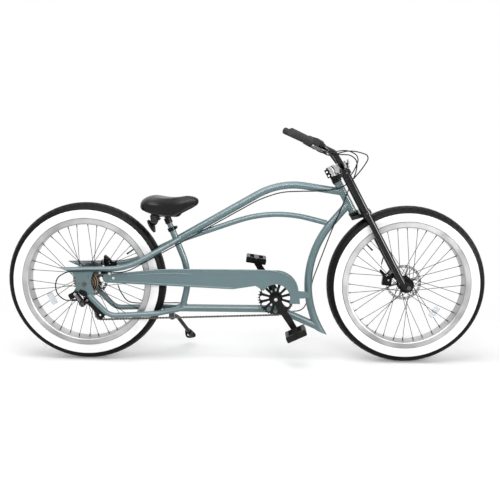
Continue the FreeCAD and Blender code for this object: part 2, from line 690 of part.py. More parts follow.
def spoke(index):
    """One laced spoke: a head and elbow in its flange, the wire, and a nipple in the rim."""
    side = -1 if index % 2 == 0 else 1
    trailing = (index // 2) % 2 == 1
    step = 360.0 / SPOKES
    lead = CROSSES * 2 * step * (1 if trailing else -1)
    face = FLANGE_WIDTH / 2 + SPOKE_R + (2.2 if trailing else 0.3)
    y = side * (FLANGE_Y + (face if trailing else -face))
    through = side * (FLANGE_Y - (1 if trailing else -1) * (FLANGE_WIDTH / 2 + 0.3))
    root = polar(FLANGE_HOLES_R, index * step + lead, y)
    far = polar(FLANGE_HOLES_R, index * step + lead, through)
    seat = polar(RIM_INNER_R, index * step, side * RIM_SPOKE_HALF)
    along = unit(seat - root)
    wire = bar(root, seat, SPOKE_R)
    elbow = bar(root, far, SPOKE_R)
    knuckle = Part.makeSphere(SPOKE_R, root)
    head = bar(far, far + unit(far - root) * SPOKE_R, SPOKE_R * 1.9)
    nipple = bar(seat - along * NIPPLE_LENGTH, seat + along * (RIM_WALL + 0.5), NIPPLE_R)
    cap = bar(seat + along * (RIM_WALL + 0.5), seat + along * (RIM_WALL + 3), NIPPLE_HEAD_R)
    return fused([wire, elbow, knuckle, head, nipple, cap])


def spokes():
    laced = []
    repeat = 4
    for first in range(repeat):
        wire = spoke(first)
        for turn in range(SPOKES // repeat):
            laced.append(wire.rotated(ORIGIN, Y_AXIS, -turn * repeat * 360.0 / SPOKES))
    return Part.makeCompound(laced)


def hub_left(rotor_y):
    """How far the hub reaches on the brake disc's side."""
    return rotor_y - ROTOR_WIDTH / 2 + HUB_END


def hub(half, rotor_y):
    """A flanged hub shell drilled for its spokes, with a bearing pressed into each end."""
    low = FLANGE_Y - FLANGE_WIDTH / 2
    high = FLANGE_Y + FLANGE_WIDTH / 2
    rotor_face = rotor_y - ROTOR_WIDTH / 2
    shell = lathe([(-half, BEARING_R + FIT), (-half, HUB_R), (-high, HUB_R), (-high, FLANGE_R),
                   (-low, FLANGE_R), (-low, HUB_R), (low, HUB_R), (low, FLANGE_R), (high, FLANGE_R),
                   (high, HUB_R), (rotor_face - 4, HUB_R), (rotor_face - 4, ROTOR_HUB_R - 1),
                   (rotor_face, ROTOR_HUB_R - 1), (rotor_face, HUB_R), (rotor_face + HUB_END, HUB_R),
                   (rotor_face + HUB_END, BEARING_R + FIT)])
    holes = []
    for index in range(SPOKES):
        side = -1 if index % 2 == 0 else 1
        start = polar(FLANGE_HOLES_R, index * 360.0 / SPOKES, side * (low - 1))
        end = polar(FLANGE_HOLES_R, index * 360.0 / SPOKES, side * (high + 1))
        holes.append(bar(start, end, SPOKE_HOLE_R))
    bearings = [ring(V(0, y, 0), V(0, y + BEARING_WIDTH, 0), BEARING_R, AXLE_R + RUN)
                for y in (-half, rotor_face + HUB_END - BEARING_WIDTH)]
    return Part.makeCompound([shell.cut(holes)] + bearings)


def rotor(y):
    """A drilled brake disc on six slanted arms."""
    face = round_hole(ORIGIN, ROTOR_R).cut(round_hole(ORIGIN, HUB_R + FIT))
    outer = ROTOR_R - ROTOR_RING
    window = round_hole(ORIGIN, outer).cut(round_hole(ORIGIN, ROTOR_HUB_R))
    arms = []
    for index in range(ROTOR_ARMS):
        turn = index * 360.0 / ROTOR_ARMS
        arm = flat(V(0, 0, ROTOR_ARM_WIDTH / 2), [V(ROTOR_R - 3, 0, 22 + ROTOR_ARM_WIDTH / 2),
                                                  V(ROTOR_R - 3, 0, 22 - ROTOR_ARM_WIDTH / 2),
                                                  V(0, 0, -ROTOR_ARM_WIDTH / 2), V(0, 0, ROTOR_ARM_WIDTH / 2)])
        arms.append(arm.rotated(ORIGIN, Y_AXIS, -turn))
    holes = [round_hole(polar(ROTOR_R - ROTOR_RING / 2, index * 360.0 / ROTOR_HOLES, 0), ROTOR_HOLE_R)
             for index in range(ROTOR_HOLES)]
    low = y - ROTOR_WIDTH / 2
    high = y + ROTOR_WIDTH / 2
    disc = plate(face, low, high)
    openings = plate(window, low, high).cut([plate(arm, low, high) for arm in arms])
    return disc.cut([openings] + [plate(hole, low, high) for hole in holes])


def wheel_reflector(angle):
    """A moulded reflector held against the right-hand spokes."""
    outer = WHEEL_REFLECTOR_R + WHEEL_REFLECTOR.z / 2 + 4
    share = (outer - FLANGE_HOLES_R) / (RIM_INNER_R - FLANGE_HOLES_R)
    inner_spoke = FLANGE_Y - FLANGE_WIDTH / 2 - SPOKE_R - 0.3
    spoke_y = -(inner_spoke + (RIM_SPOKE_HALF - inner_spoke) * share) + SPOKE_R + SEAT
    size = WHEEL_REFLECTOR
    lens = Part.makeBox(size.x, size.y, size.z, V(-size.x / 2, spoke_y, WHEEL_REFLECTOR_R - size.z / 2))
    upright = [edge for edge in lens.Edges if abs(edge.tangentAt(edge.FirstParameter).y) > 0.9]
    return lens.makeFillet(6.0, upright).rotated(ORIGIN, Y_AXIS, 90 - angle)


def axle(centre, plate_y, right, left, reach):
    """A wheel axle with its spacers inside the plates and a nut at each end."""
    rod = bar(centre - Y_AXIS * reach, centre + Y_AXIS * reach, AXLE_R)
    pieces = [rod]
    for side, hub_end in ((-1, right), (1, left)):
        inner = centre + Y_AXIS * side * (hub_end + SEAT)
        pieces.append(bar(inner, centre + Y_AXIS * side * plate_y, CONE_R))
        corners = [polar(NUT_R, 60 * step, 0) for step in range(7)]
        hexagon = Part.Face(Part.makePolygon(corners)).extrude(Y_AXIS * side * -NUT_WIDTH)
        pieces.append(hexagon.translated(centre + Y_AXIS * side * (reach - 3)))
    return fused(pieces)


# Drive

def pitch_radius(teeth):
    return PITCH / 2 / math.sin(math.pi / teeth)


def sprocket_face(teeth, phase):
    """A toothed outline with a roller seat at the phase angle, in degrees."""
    radius = pitch_radius(teeth)
    seat = ROLLER_R + ROLLER_GAP
    tip = radius + 0.22 * PITCH
    half_tip = 0.055 * PITCH / tip
    step = 2 * math.pi / teeth
    opening = math.radians(62)
    edges = []
    points = []
    for tooth in range(teeth):
        angle = math.radians(phase) + tooth * step
        out = V(math.cos(angle), 0, math.sin(angle))
        side = V(-out.z, 0, out.x)
        centre = out * radius
        dip = lambda turn: centre - out * seat * math.cos(turn) + side * seat * math.sin(turn)
        points.append((dip(-opening), dip(0), dip(opening)))
    for tooth in range(teeth):
        angle = math.radians(phase) + (tooth + 0.5) * step
        start, bottom, end = points[tooth]
        crown = [polar(tip, math.degrees(angle + shift), 0) for shift in (-half_tip, half_tip)]
        following = points[(tooth + 1) % teeth][0]
        edges.append(Part.Arc(start, bottom, end).toShape())
        corners = [end] + crown + [following]
        edges += [Part.LineSegment(a, b).toShape() for a, b in zip(corners, corners[1:])]
    return Part.Face(Part.Wire(edges))


def belt(circles):
    """Runs and arcs of a chain round circles given as (centre, radius, turn), turn +1 anticlockwise."""
    pieces = []
    tangents = []
    for (a, ra, ta), (b, rb, tb) in zip(circles, circles[1:] + circles[:1]):
        gap = b - a
        heading = math.atan2(gap.z, gap.x)
        lean = math.asin((ta * ra - tb * rb) / gap.Length)
        normal = heading - math.pi / 2 + lean
        out = V(math.cos(normal), 0, math.sin(normal))
        tangents.append((a + out * ra * ta, b + out * rb * tb))
    for index, (centre, radius, turn) in enumerate(circles):
        start, end = tangents[index]
        pieces.append(("run", start, end, start.distanceToPoint(end)))
        centre, radius, turn = circles[(index + 1) % len(circles)]
        leave = tangents[(index + 1) % len(circles)][0]
        first = math.atan2(end.z - centre.z, end.x - centre.x)
        last = math.atan2(leave.z - centre.z, leave.x - centre.x)
        sweep_angle = (turn * (last - first)) % (2 * math.pi)
        pieces.append(("arc", centre, (radius, first, turn), radius * sweep_angle))
    return pieces


def belt_point(pieces, distance):
    total = sum(piece[3] for piece in pieces)
    distance %= total
    for kind, a, b, length in pieces:
        if distance <= length:
            if kind == "run":
                return a + unit(b - a) * distance
            radius, first, turn = b
            angle = first + turn * distance / radius
            return a + V(math.cos(angle), 0, math.sin(angle)) * radius
        distance -= length
    return pieces[0][1]


def rollers(pieces):
    """Roller centres one pitch apart, and by how much the last pitch misses the first roller."""
    total = sum(piece[3] for piece in pieces)
    places = [0.0]
    while True:
        here = belt_point(pieces, places[-1])
        low, high = places[-1] + PITCH * 0.9, places[-1] + PITCH * 1.3
        for _ in range(34):
            middle = (low + high) / 2
            if belt_point(pieces, middle).distanceToPoint(here) < PITCH:
                low = middle
            else:
                high = middle
        if low >= total - PITCH / 2:
            return [belt_point(pieces, place) for place in places], low - total
        places.append(low)


def chain_circles(cage_angle):
    tension = GUIDE + polar(CAGE_LENGTH, cage_angle, 0)
    pulley = pitch_radius(PULLEY_TEETH)
    return [(V(BRACKET.x, 0, BRACKET.z), pitch_radius(RING_TEETH), 1),
            (REAR_AXLE, pitch_radius(COG_TEETH[CHAIN_COG]), 1), (GUIDE, pulley, -1), (tension, pulley, 1)]


def settle_chain():
    """Turn the cage until a whole, even number of pitches closes the chain."""
    def miss(angle):
        places, gap = rollers(belt(chain_circles(angle)))
        return len(places), gap

    angle = CAGE_START_ANGLE
    step = 0.5
    count, gap = miss(angle)
    for _ in range(80):
        following = miss(angle + step)
        if count % 2 == 0 and following[0] == count and gap * following[1] <= 0:
            break
        angle += step
        count, gap = following
    low, high = angle, angle + step
    for _ in range(26):
        middle = (low + high) / 2
        if miss(middle)[1] * gap > 0:
            low = middle
        else:
            high = middle
    return low


CAGE_ANGLE = settle_chain()
CHAIN_CIRCLES = chain_circles(CAGE_ANGLE)
ROLLERS = rollers(belt(CHAIN_CIRCLES))[0]
TENSION = CHAIN_CIRCLES[3][0]
print("chain links", len(ROLLERS), "cage angle", round(CAGE_ANGLE, 2))


def seat_phase(centre, radius):
    """The angle of a roller that lies on a sprocket's pitch circle, in degrees."""
    near = min(ROLLERS, key=lambda roller: abs(roller.distanceToPoint(centre) - radius))
    return math.degrees(math.atan2(near.z - centre.z, near.x - centre.x))


def link(outer):
    """One link along X from the origin: waisted plates with rollers, or with the pins through them."""
    plates = []
    low = ROLLER_HALF + (LINK_PLATE + LINK_GAP if outer else 0)
    ends = [ORIGIN, V(PITCH, 0, 0)]
    waist = LINK_R * 0.72
    rise = V(LINK_R * math.cos(math.radians(50)), 0, LINK_R * math.sin(math.radians(50)))
    lean = V(rise.x, 0, -rise.z)
    outline = flat(rise, [(V(-LINK_R, 0, 0), lean), (V(PITCH / 2, 0, -waist), ends[1] + V(-rise.x, 0, -rise.z)),
                          (ends[1] + V(LINK_R, 0, 0), ends[1] + V(-rise.x, 0, rise.z)),
                          (V(PITCH / 2, 0, waist), rise)])
    plates = pair(plate(outline, low, low + LINK_PLATE))
    top = low + LINK_PLATE
    if outer:
        pins = [bar(end - Y_AXIS * top, end + Y_AXIS * top, PIN_R) for end in ends]
        return fused(plates + pins)
    barrels = [bar(end - Y_AXIS * low, end + Y_AXIS * low, ROLLER_R) for end in ends]
    holes = [bar(end - Y_AXIS * top, end + Y_AXIS * top, PIN_R + LINK_GAP) for end in ends]
    return fused(plates + barrels).cut(holes)


def chain():
    """The roller chain, inner and outer links in turn, each laid between two rollers."""
    templates = [link(False), link(True)]
    links = []
    for index, start in enumerate(ROLLERS):
        along = ROLLERS[(index + 1) % len(ROLLERS)] - start
        turned = templates[index % 2].copy()
        turned.rotate(ORIGIN, Y_AXIS, -math.degrees(math.atan2(along.z, along.x)))
        links.append(turned.translated(V(start.x, CHAIN_Y, start.z)))
    return Part.makeCompound(links)


def chainring():
    """A toothed ring with long rounded windows between its arms."""
    phase = seat_phase(BRACKET, pitch_radius(RING_TEETH))
    face = sprocket_face(RING_TEETH, phase)
    root = V(WINDOW_IN + WINDOW_ROOT_R, 0, 0)
    end = V(WINDOW_OUT, 0, 0)
    window = capsule(root, end, WINDOW_ROOT_R, WINDOW_END_R)
    cuts = [window.rotated(ORIGIN, Y_AXIS, index * 360.0 / RING_WINDOWS) for index in range(RING_WINDOWS)]
    cuts.append(round_hole(ORIGIN, CRANK_BOSS_R - 4 + FIT))
    half = RING_WIDTH / 2
    blank = plate(face, -half, half)
    openings = [plate(cut, -half, half) for cut in cuts]
    return blank.cut(openings).translated(V(BRACKET.x, CHAIN_Y, BRACKET.z))


def cassette():
    """Seven sprockets on one core. The chain's own sprocket is turned to seat its rollers."""
    cogs = []
    first = CHAIN_Y + CHAIN_COG * COG_STEP
    for index, teeth in enumerate(COG_TEETH):
        radius = pitch_radius(teeth)
        phase = seat_phase(REAR_AXLE, radius) if index == CHAIN_COG else 0.0
        y = first - index * COG_STEP
        cogs.append(plate(sprocket_face(teeth, phase), y - COG_WIDTH / 2, y + COG_WIDTH / 2))
    last = first - (len(COG_TEETH) - 1) * COG_STEP
    core = bar(V(0, last - 2, 0), V(0, first + 2, 0), COG_CORE_R)
    bore = bar(V(0, last - 3, 0), V(0, first + 3, 0), AXLE_R + RUN)
    return fused([core] + cogs).cut(bore).translated(V(REAR_AXLE.x, 0, REAR_AXLE.z))


def pedal_at(side):
    angle = math.radians(CRANK_ANGLE)
    swing = V(math.cos(angle), 0, math.sin(angle)) * CRANK_LENGTH
    return BRACKET + swing * (-side) + Y_AXIS * side * (CRANK_IN + CRANK_THICK)


def crank_arms():
    """Two tapered arms on the bearing spindle, with their bolts and pedal spindles."""
    solids = [bar(BRACKET - Y_AXIS * (CRANK_IN + 8), BRACKET + Y_AXIS * (CRANK_IN + 8), SPINDLE_R)]
    for side in (-1, 1):
        eye = pedal_at(side)
        outer = side * (CRANK_IN + CRANK_THICK)
        hub_end = V(BRACKET.x, 0, BRACKET.z)
        arm = plate(capsule(hub_end, V(eye.x, 0, eye.z), CRANK_BOSS_R, CRANK_EYE_R),
                    min(side * CRANK_IN, outer), max(side * CRANK_IN, outer))
        shoulder = CHAIN_Y - RING_WIDTH / 2
        if side < 0:
            boss = bar(V(BRACKET.x, -CRANK_IN, BRACKET.z), V(BRACKET.x, shoulder, BRACKET.z), CRANK_BOSS_R + 4)
            spigot = bar(V(BRACKET.x, shoulder, BRACKET.z),
                         V(BRACKET.x, -SHELL_HALF - 3 - SEAT, BRACKET.z), CRANK_BOSS_R - 4)
            arm = fused([arm, boss, spigot])
        else:
            boss = bar(V(BRACKET.x, SHELL_HALF + 3 + SEAT, BRACKET.z), V(BRACKET.x, CRANK_IN, BRACKET.z),
                       CRANK_BOSS_R - 2)
            arm = fused([arm, boss])
        depth = bar(BRACKET, BRACKET + Y_AXIS * side * (CRANK_IN + 8), SPINDLE_R + FIT)
        cap = bar(BRACKET + Y_AXIS * outer, BRACKET + Y_AXIS * (outer + side * 2.5), CRANK_BOSS_R * 0.5)
        spindle = bar(eye - Y_AXIS * side * CRANK_THICK, eye + Y_AXIS * side * (PEDAL.y + 6), PEDAL_PIN_R)
        socket = bar(eye - Y_AXIS * side * CRANK_THICK, eye, PEDAL_PIN_R + FIT)
        solids += [arm.cut([depth, socket]), cap, spindle]
    return Part.makeCompound(solids)


def pedal(side, tilt):
    """An open block pedal: a bearing barrel, end plates and two tread bars."""
    near = SEAT + 1.5
    start = V(0, side * near, 0)
    end = V(0, side * (near + PEDAL.y), 0)
    half_x = PEDAL.x / 2
    half_z = PEDAL.z / 2
    block = Part.makeBox(PEDAL.x, PEDAL.y, PEDAL.z, V(-half_x, min(start.y, end.y), -half_z))
    long_edges = [edge for edge in block.Edges if abs(edge.tangentAt(edge.FirstParameter).y) > 0.9]
    block = block.makeFillet(6.0, long_edges)
    rail = 16.0
    wall = 9.0
    windows = []
    for x in (-half_x + rail, PEDAL_BARREL_R):
        width = half_x - rail - PEDAL_BARREL_R
        windows.append(Part.makeBox(width, PEDAL.y - 2 * wall, PEDAL.z,
                                    V(x, min(start.y, end.y) + wall, -half_z)))
    bore = bar(start, end, PEDAL_PIN_R + RUN)
    shape = block.cut(windows + [bore])
    return shape.rotated(ORIGIN, Y_AXIS, -tilt).translated(pedal_at(side))


def pulley(centre):
    """An idler wheel of the gear mechanism, its teeth seated on the chain."""
    phase = seat_phase(centre, pitch_radius(PULLEY_TEETH))
    face = sprocket_face(PULLEY_TEETH, phase).cut(round_hole(ORIGIN, PULLEY_PIN_R + RUN))
    return plate(face, -RING_WIDTH / 2, RING_WIDTH / 2).translated(V(centre.x, CHAIN_Y, centre.z))


def derailleur_cage():
    """Two cage plates joined by the idler wheels' pins, on the body's pivot."""
    pivot_to_guide = capsule(CAGE_PIVOT, GUIDE, 9.0, 11.0)
    arm = capsule(GUIDE, TENSION, 11.0, 9.5)
    inner = plate(arm, CHAIN_Y + CAGE_HALF, CHAIN_Y + CAGE_HALF + CAGE_PLATE)
    low = CHAIN_Y - CAGE_HALF - CAGE_PLATE
    outer = fused([plate(arm, low, low + CAGE_PLATE), plate(pivot_to_guide, low, low + CAGE_PLATE)])
    pins = [bar(V(at.x, low, at.z), V(at.x, CHAIN_Y + CAGE_HALF + CAGE_PLATE, at.z), PULLEY_PIN_R)
            for at in (GUIDE, TENSION)]
    hole = plate(round_hole(CAGE_PIVOT, PIN_R * 2 + RUN), low - 1, low + CAGE_PLATE + 1)
    return fused([inner, outer.cut(hole)] + pins)


def derailleur_body():
    """The gear mechanism's body on the hanger, with its knuckles, link and cage pivot."""
    face_y = -PLATE_Y - SEAT / 3
    upper = bar(V(HANGER.x, face_y, HANGER.z), V(HANGER.x, face_y - KNUCKLE_WIDTH, HANGER.z), KNUCKLE_R)
    bolt = bar(V(HANGER.x, -REAR_HALF, HANGER.z), V(HANGER.x, face_y - 1, HANGER.z), HANGER_BOLT_R)
    link_face = capsule(V(HANGER.x, 0, HANGER.z), CAGE_PIVOT, KNUCKLE_R - 3, KNUCKLE_R - 1)
    arm = plate(link_face, face_y - KNUCKLE_WIDTH + 2, face_y - 2)
    inner_y = CHAIN_Y - CAGE_HALF - CAGE_PLATE - SEAT
    lower = bar(V(CAGE_PIVOT.x, inner_y, CAGE_PIVOT.z),
                V(CAGE_PIVOT.x, face_y - KNUCKLE_WIDTH, CAGE_PIVOT.z), KNUCKLE_R)
    pin = bar(V(CAGE_PIVOT.x, inner_y - 1, CAGE_PIVOT.z),
              V(CAGE_PIVOT.x, CHAIN_Y - CAGE_HALF, CAGE_PIVOT.z), PIN_R * 2)
    end = SHIFT_ROUTE[-1]
    barrel = bar(end, end + unit(end - SHIFT_ROUTE[-2]) * 28, 4.5)
    return fused([upper, bolt, arm, lower, pin, barrel])


# Fork and handlebar

def crown(z, bore_legs):
    """A clamp plate from the steerer to both fork legs, rounded at its three eyes."""
    eyes = [V(0, 0, z), V(LEG_RAKE, -LEG_HALF, z), V(LEG_RAKE, LEG_HALF, z)]
    triangle = Part.Face(Part.makePolygon(eyes + eyes[:1]))
    slab = triangle.makeOffset2D(CROWN_ROUND).extrude(V(0, 0, CROWN_HEIGHT))
    bores = [Part.makeCylinder(LEG_R + FIT, CROWN_HEIGHT, eye) for eye in eyes[1:]]
    notch = Part.makeCylinder(30, CROWN_HEIGHT, V(LEG_RAKE + CROWN_ROUND + 14, 0, z))
    return slab.cut(bores + [notch])


def fork_crowns():
    """The steerer fixed in the lower crown, and the separate upper crown clamped on it."""
    lower = crown(LOWER_CROWN_Z, True)
    top = STEM_Z + STEM_HEIGHT
    steerer = Part.makeCylinder(STEERER_R, top - LOWER_CROWN_Z, V(0, 0, LOWER_CROWN_Z))
    steerer = steerer.cut(Part.makeCylinder(STEERER_R - STEERER_WALL, top - LOWER_CROWN_Z, V(0, 0, LOWER_CROWN_Z)))
    upper = crown(TOP_CROWN_Z, True).cut(Part.makeCylinder(STEERER_R + FIT, CROWN_HEIGHT, V(0, 0, TOP_CROWN_Z)))
    return Part.makeCompound([in_steering(fused([lower, steerer])), in_steering(upper)])


def fork_legs():
    """Two tube legs with closed tops and forward lugs for the axle."""
    top = TOP_CROWN_Z + CROWN_HEIGHT + LEG_TOP
    axle_z = -AXLE_DROP
    bottom = axle_z + LUG_LENGTH / 2
    legs = []
    for side in (-1, 1):
        foot = V(LEG_RAKE, side * LEG_HALF, bottom)
        tube = Part.makeCylinder(LEG_R, top - bottom, foot)
        tube = tube.makeFillet(4.0, [tube.Edges[0]])
        bore = Part.makeCylinder(LEG_R - LEG_WALL, top - bottom - 14, foot)
        inner = side * FRONT_HALF
        outer = side * (LEG_HALF + LEG_R - 2)
        lug = plate(capsule(V(LEG_RAKE, 0, bottom + 4), V(FORK_RAKE, 0, axle_z), LEG_R - 1, LUG_R),
                    min(inner, outer), max(inner, outer))
        hole = bar(V(FORK_RAKE, -200, axle_z), V(FORK_RAKE, 200, axle_z), AXLE_R + FIT)
        legs.append(in_steering(fused([tube.cut(bore), lug]).cut(hole)))
    return legs


def stem():
    """A polished stem: a split clamp on the steerer, and a split clamp for the bar ahead of it."""
    post = Part.makeCylinder(STEM_R, STEM_HEIGHT, V(0, 0, STEM_Z))
    grip = Part.makeCylinder(STEM_R - 1, 2 * STEM_CLAMP_HALF, V(STEM_REACH, -STEM_CLAMP_HALF, BAR_Z), Y_AXIS)
    neck = Part.makeBox(STEM_REACH, 34, STEM_HEIGHT - 6, V(0, -17, STEM_Z + 3))
    ears = Part.makeBox(18, 30, STEM_HEIGHT, V(-STEM_R - 9, -15, STEM_Z))
    steerer = Part.makeCylinder(STEERER_R + FIT, STEM_HEIGHT, V(0, 0, STEM_Z))
    split = Part.makeBox(STEM_R + 12, 2.5, STEM_HEIGHT, V(-STEM_R - 12, -1.25, STEM_Z))
    bar_hole = Part.makeCylinder(BAR_R + FIT, 100, V(STEM_REACH, -50, BAR_Z), Y_AXIS)
    front_split = Part.makeBox(2.0, 100, 2 * STEM_R, V(STEM_REACH + 4, -50, BAR_Z - STEM_R))
    solids = fused([post, grip, neck, ears]).cut([steerer, split, bar_hole, front_split]).Solids
    bolts = [Part.makeCylinder(STEM_BOLT_R, 44, V(-STEM_R - 2, -22, STEM_Z + z), Y_AXIS)
             for z in (10, STEM_HEIGHT - 10)]
    solids = [solid.cut(bolts) for solid in solids]
    lid = Part.makeCylinder(STEM_R - 2, 5, V(0, 0, STEM_Z + STEM_HEIGHT))
    return [in_steering(solid) for solid in solids + bolts + [lid]]


GRIP_DIRECTION = unit(BAR_END - BAR_KNEE)
BAR_LENGTH = BAR_END.distanceToPoint(BAR_KNEE)


def grip_point(inward):
    """A point on the right-hand grip's axis, measured inwards from the bar's end."""
    return BAR_END - GRIP_DIRECTION * inward


def bar_centre():
    return STEERING.multVec(V(STEM_REACH, 0, BAR_Z))


def handlebar():
    """A swept bar: a flat middle in the stem, two risers and two reduced ends under the grips."""
    centre = bar_centre()
    flat_end = centre - Y_AXIS * BAR_FLAT_HALF
    neck = grip_point(GRIP_LENGTH + TWIST_LENGTH + SHIFTER_LENGTH + CLAMP_WIDTH + 12)
    other = lambda point: V(point.x, -point.y, point.z)
    fat = sweep(route([neck, BAR_KNEE, flat_end, other(flat_end), other(BAR_KNEE), other(neck)], BAR_BEND), BAR_R)
    path = route([BAR_END, BAR_KNEE, flat_end, other(flat_end), other(BAR_KNEE), other(BAR_END)], BAR_BEND)
    thin = pair(bar(BAR_END, neck, GRIP_BAR_R))
    return fused([fat] + thin).cut(sweep(path, GRIP_BAR_R - BAR_WALL))


def grip_sleeve(start, end, outer):
    return ring(grip_point(start), grip_point(end), outer, GRIP_BAR_R + FIT)


def grips():
    """Rubber grips with an end flange. The right one leaves room for the twist shifter."""
    sleeve = grip_sleeve(0, GRIP_LENGTH, GRIP_R)
    end = bar(grip_point(0) + GRIP_DIRECTION * 4, grip_point(0), GRIP_R)
    flange = grip_sleeve(GRIP_LENGTH - 4, GRIP_LENGTH, GRIP_FLANGE_R)
    right = fused([sleeve, end, flange])
    long_end = GRIP_LENGTH + TWIST_LENGTH
    left = fused([grip_sleeve(0, long_end, GRIP_R), end, grip_sleeve(long_end - 4, long_end, GRIP_FLANGE_R)])
    return [right, mirrored(left)]


TWIST_START = GRIP_LENGTH + SEAT
SHIFTER_START = TWIST_START + TWIST_LENGTH + SEAT
CLAMP_START = SHIFTER_START + SHIFTER_LENGTH + 3
LEVER_UP = unit(Z_AXIS - GRIP_DIRECTION * Z_AXIS.dot(GRIP_DIRECTION))
LEVER_AHEAD = unit(X_AXIS - GRIP_DIRECTION * X_AXIS.dot(GRIP_DIRECTION) - LEVER_UP * X_AXIS.dot(LEVER_UP))
LEVER_OUT = unit(LEVER_AHEAD * math.cos(math.radians(35)) - LEVER_UP * math.sin(math.radians(35)))
LEVER_AXIS = GRIP_DIRECTION.cross(LEVER_OUT)
LEVER_PIVOT = grip_point(CLAMP_START + CLAMP_WIDTH / 2) + LEVER_OUT * LEVER_PIVOT_DROP
LEVER_FRAME = FreeCAD.Placement(grip_point(CLAMP_START + CLAMP_WIDTH / 2),
                                FreeCAD.Rotation(GRIP_DIRECTION, LEVER_AXIS * -1, LEVER_OUT, "XZY"))
OUTLET_ROOT = grip_point(SHIFTER_START + SHIFTER_LENGTH - 8) - LEVER_UP * (CLAMP_R + OUTLET_R + SEAT)
SPOUT_OFFSET = 19.5


def twist_grip():
    """The turning barrel of the shifter, flared towards its housing and ribbed along its length."""
    small = grip_point(TWIST_START)
    cone = Part.makeCone(GRIP_R + 1, TWIST_R, TWIST_LENGTH, small, GRIP_DIRECTION * -1)
    bore = bar(small, grip_point(TWIST_START + TWIST_LENGTH), GRIP_BAR_R + RUN)
    return cone.cut(bore)


def lever_brackets():
    """Clamps for the brake levers on both sides, and the shifter's fixed housing on the right."""
    half = CLAMP_WIDTH / 2
    gap = LEVER_WIDTH / 2 + SEAT
    band = bar(V(-half, 0, 0), V(half, 0, 0), CLAMP_R)
    pivot = V(0, 0, LEVER_PIVOT_DROP)
    cheek = plate(capsule(V(0, 0, EAR_R + 6), pivot, EAR_R, EAR_R - 1), gap, gap + EAR_WIDTH)
    bridge = Part.makeBox(CLAMP_WIDTH, 2 * gap, EAR_R, V(-half, -gap, CLAMP_R - 5))
    pin = bar(pivot - Y_AXIS * (gap + EAR_WIDTH + 1), pivot + Y_AXIS * (gap + EAR_WIDTH + 1), LEVER_PIN_R)
    spout = bar(V(0, 0, SPOUT_OFFSET), V(-SPOUT, 0, SPOUT_OFFSET), 5.5)
    bore = bar(V(-half, 0, 0), V(half, 0, 0), GRIP_BAR_R + FIT)
    bracket = fused([band, bridge, spout, pin] + pair(cheek)).cut(bore)
    bracket.Placement = LEVER_FRAME
    housing = ring(grip_point(SHIFTER_START), grip_point(SHIFTER_START + SHIFTER_LENGTH), SHIFTER_R,
                   GRIP_BAR_R + FIT)
    outlet = bar(OUTLET_ROOT, OUTLET_ROOT - GRIP_DIRECTION * OUTLET, OUTLET_R)
    return [bracket, mirrored(bracket), fused([housing, outlet])]


def brake_lever():
    """A flat, curved lever blade on its pivot, reaching out ahead of the grip."""
    half = LEVER_WIDTH / 2 - 0.5
    at = lambda along, out: V(along, 0, LEVER_PIVOT_DROP + out)
    line = route([at(0, 0), at(30, 17), at(LEVER_LENGTH * 0.72, 20), at(LEVER_LENGTH, 12)])
    stations = line.discretize(LEVER_STATIONS)
    spans = [plate(capsule(a, b, LEVER_THICK / 2, LEVER_THICK / 2), -half, half)
             for a, b in zip(stations, stations[1:])]
    pivot = at(0, 0)
    eye = bar(pivot - Y_AXIS * half, pivot + Y_AXIS * half, 8)
    tip = Part.makeSphere(LEVER_WIDTH / 2 + 0.5, stations[-1])
    hole = bar(pivot - Y_AXIS * 20, pivot + Y_AXIS * 20, LEVER_PIN_R + RUN)
    lever = fused(spans + [eye, tip]).cut(hole)
    lever.Placement = LEVER_FRAME
    return lever


def cable(start, points, wire_end=None):
    """An outer cable from the handlebar, with its bare wire on to wire_end where it pulls an arm."""
    first = start - GRIP_DIRECTION * 12 if start.y < 0 else start - mirror_point(GRIP_DIRECTION) * 12
    stops = [start, first] + points
    if wire_end is None:
        return sweep(route(stops), CABLE_R)
    ahead = unit(wire_end - points[-1])
    stop = wire_end - ahead * WIRE_LENGTH
    outer = sweep(route(stops + [stop]), CABLE_R)
    return fused([outer, bar(stop, wire_end, WIRE_R)])


def mirror_point(point):
    return V(point.x, -point.y, point.z)


def brake_spout():
    """The right-hand end of the brake cable's spout."""
    middle = grip_point(CLAMP_START + CLAMP_WIDTH / 2)
    return middle + LEVER_OUT * SPOUT_OFFSET - GRIP_DIRECTION * SPOUT


def shift_cable():
    return cable(OUTLET_ROOT - GRIP_DIRECTION * OUTLET, SHIFT_ROUTE)


def arm_eye(centre, angle, rotor_y):
    """Where a cable's wire is held, beside the end of its caliper arm."""
    pivot = caliper_pivot()
    end = V(pivot.x, 0, 0) + CALIPER_ARM
    y = rotor_y + CALIPER_OUTER + ARM_OUTER + WIRE_R + SEAT
    turned = FreeCAD.Rotation(Y_AXIS, -angle).multVec(end)
    return centre + V(turned.x, y, turned.z)


def rear_brake_cable():
    eye = arm_eye(REAR_AXLE, REAR_CALIPER_ANGLE, REAR_ROTOR_Y)
    return cable(brake_spout(), REAR_BRAKE_ROUTE, eye)


def front_brake_cable():
    eye = arm_eye(FRONT_AXLE, FRONT_CALIPER_ANGLE, FRONT_ROTOR_Y)
    start = mirror_point(brake_spout())
    return cable(start, FRONT_BRAKE_ROUTE, eye)


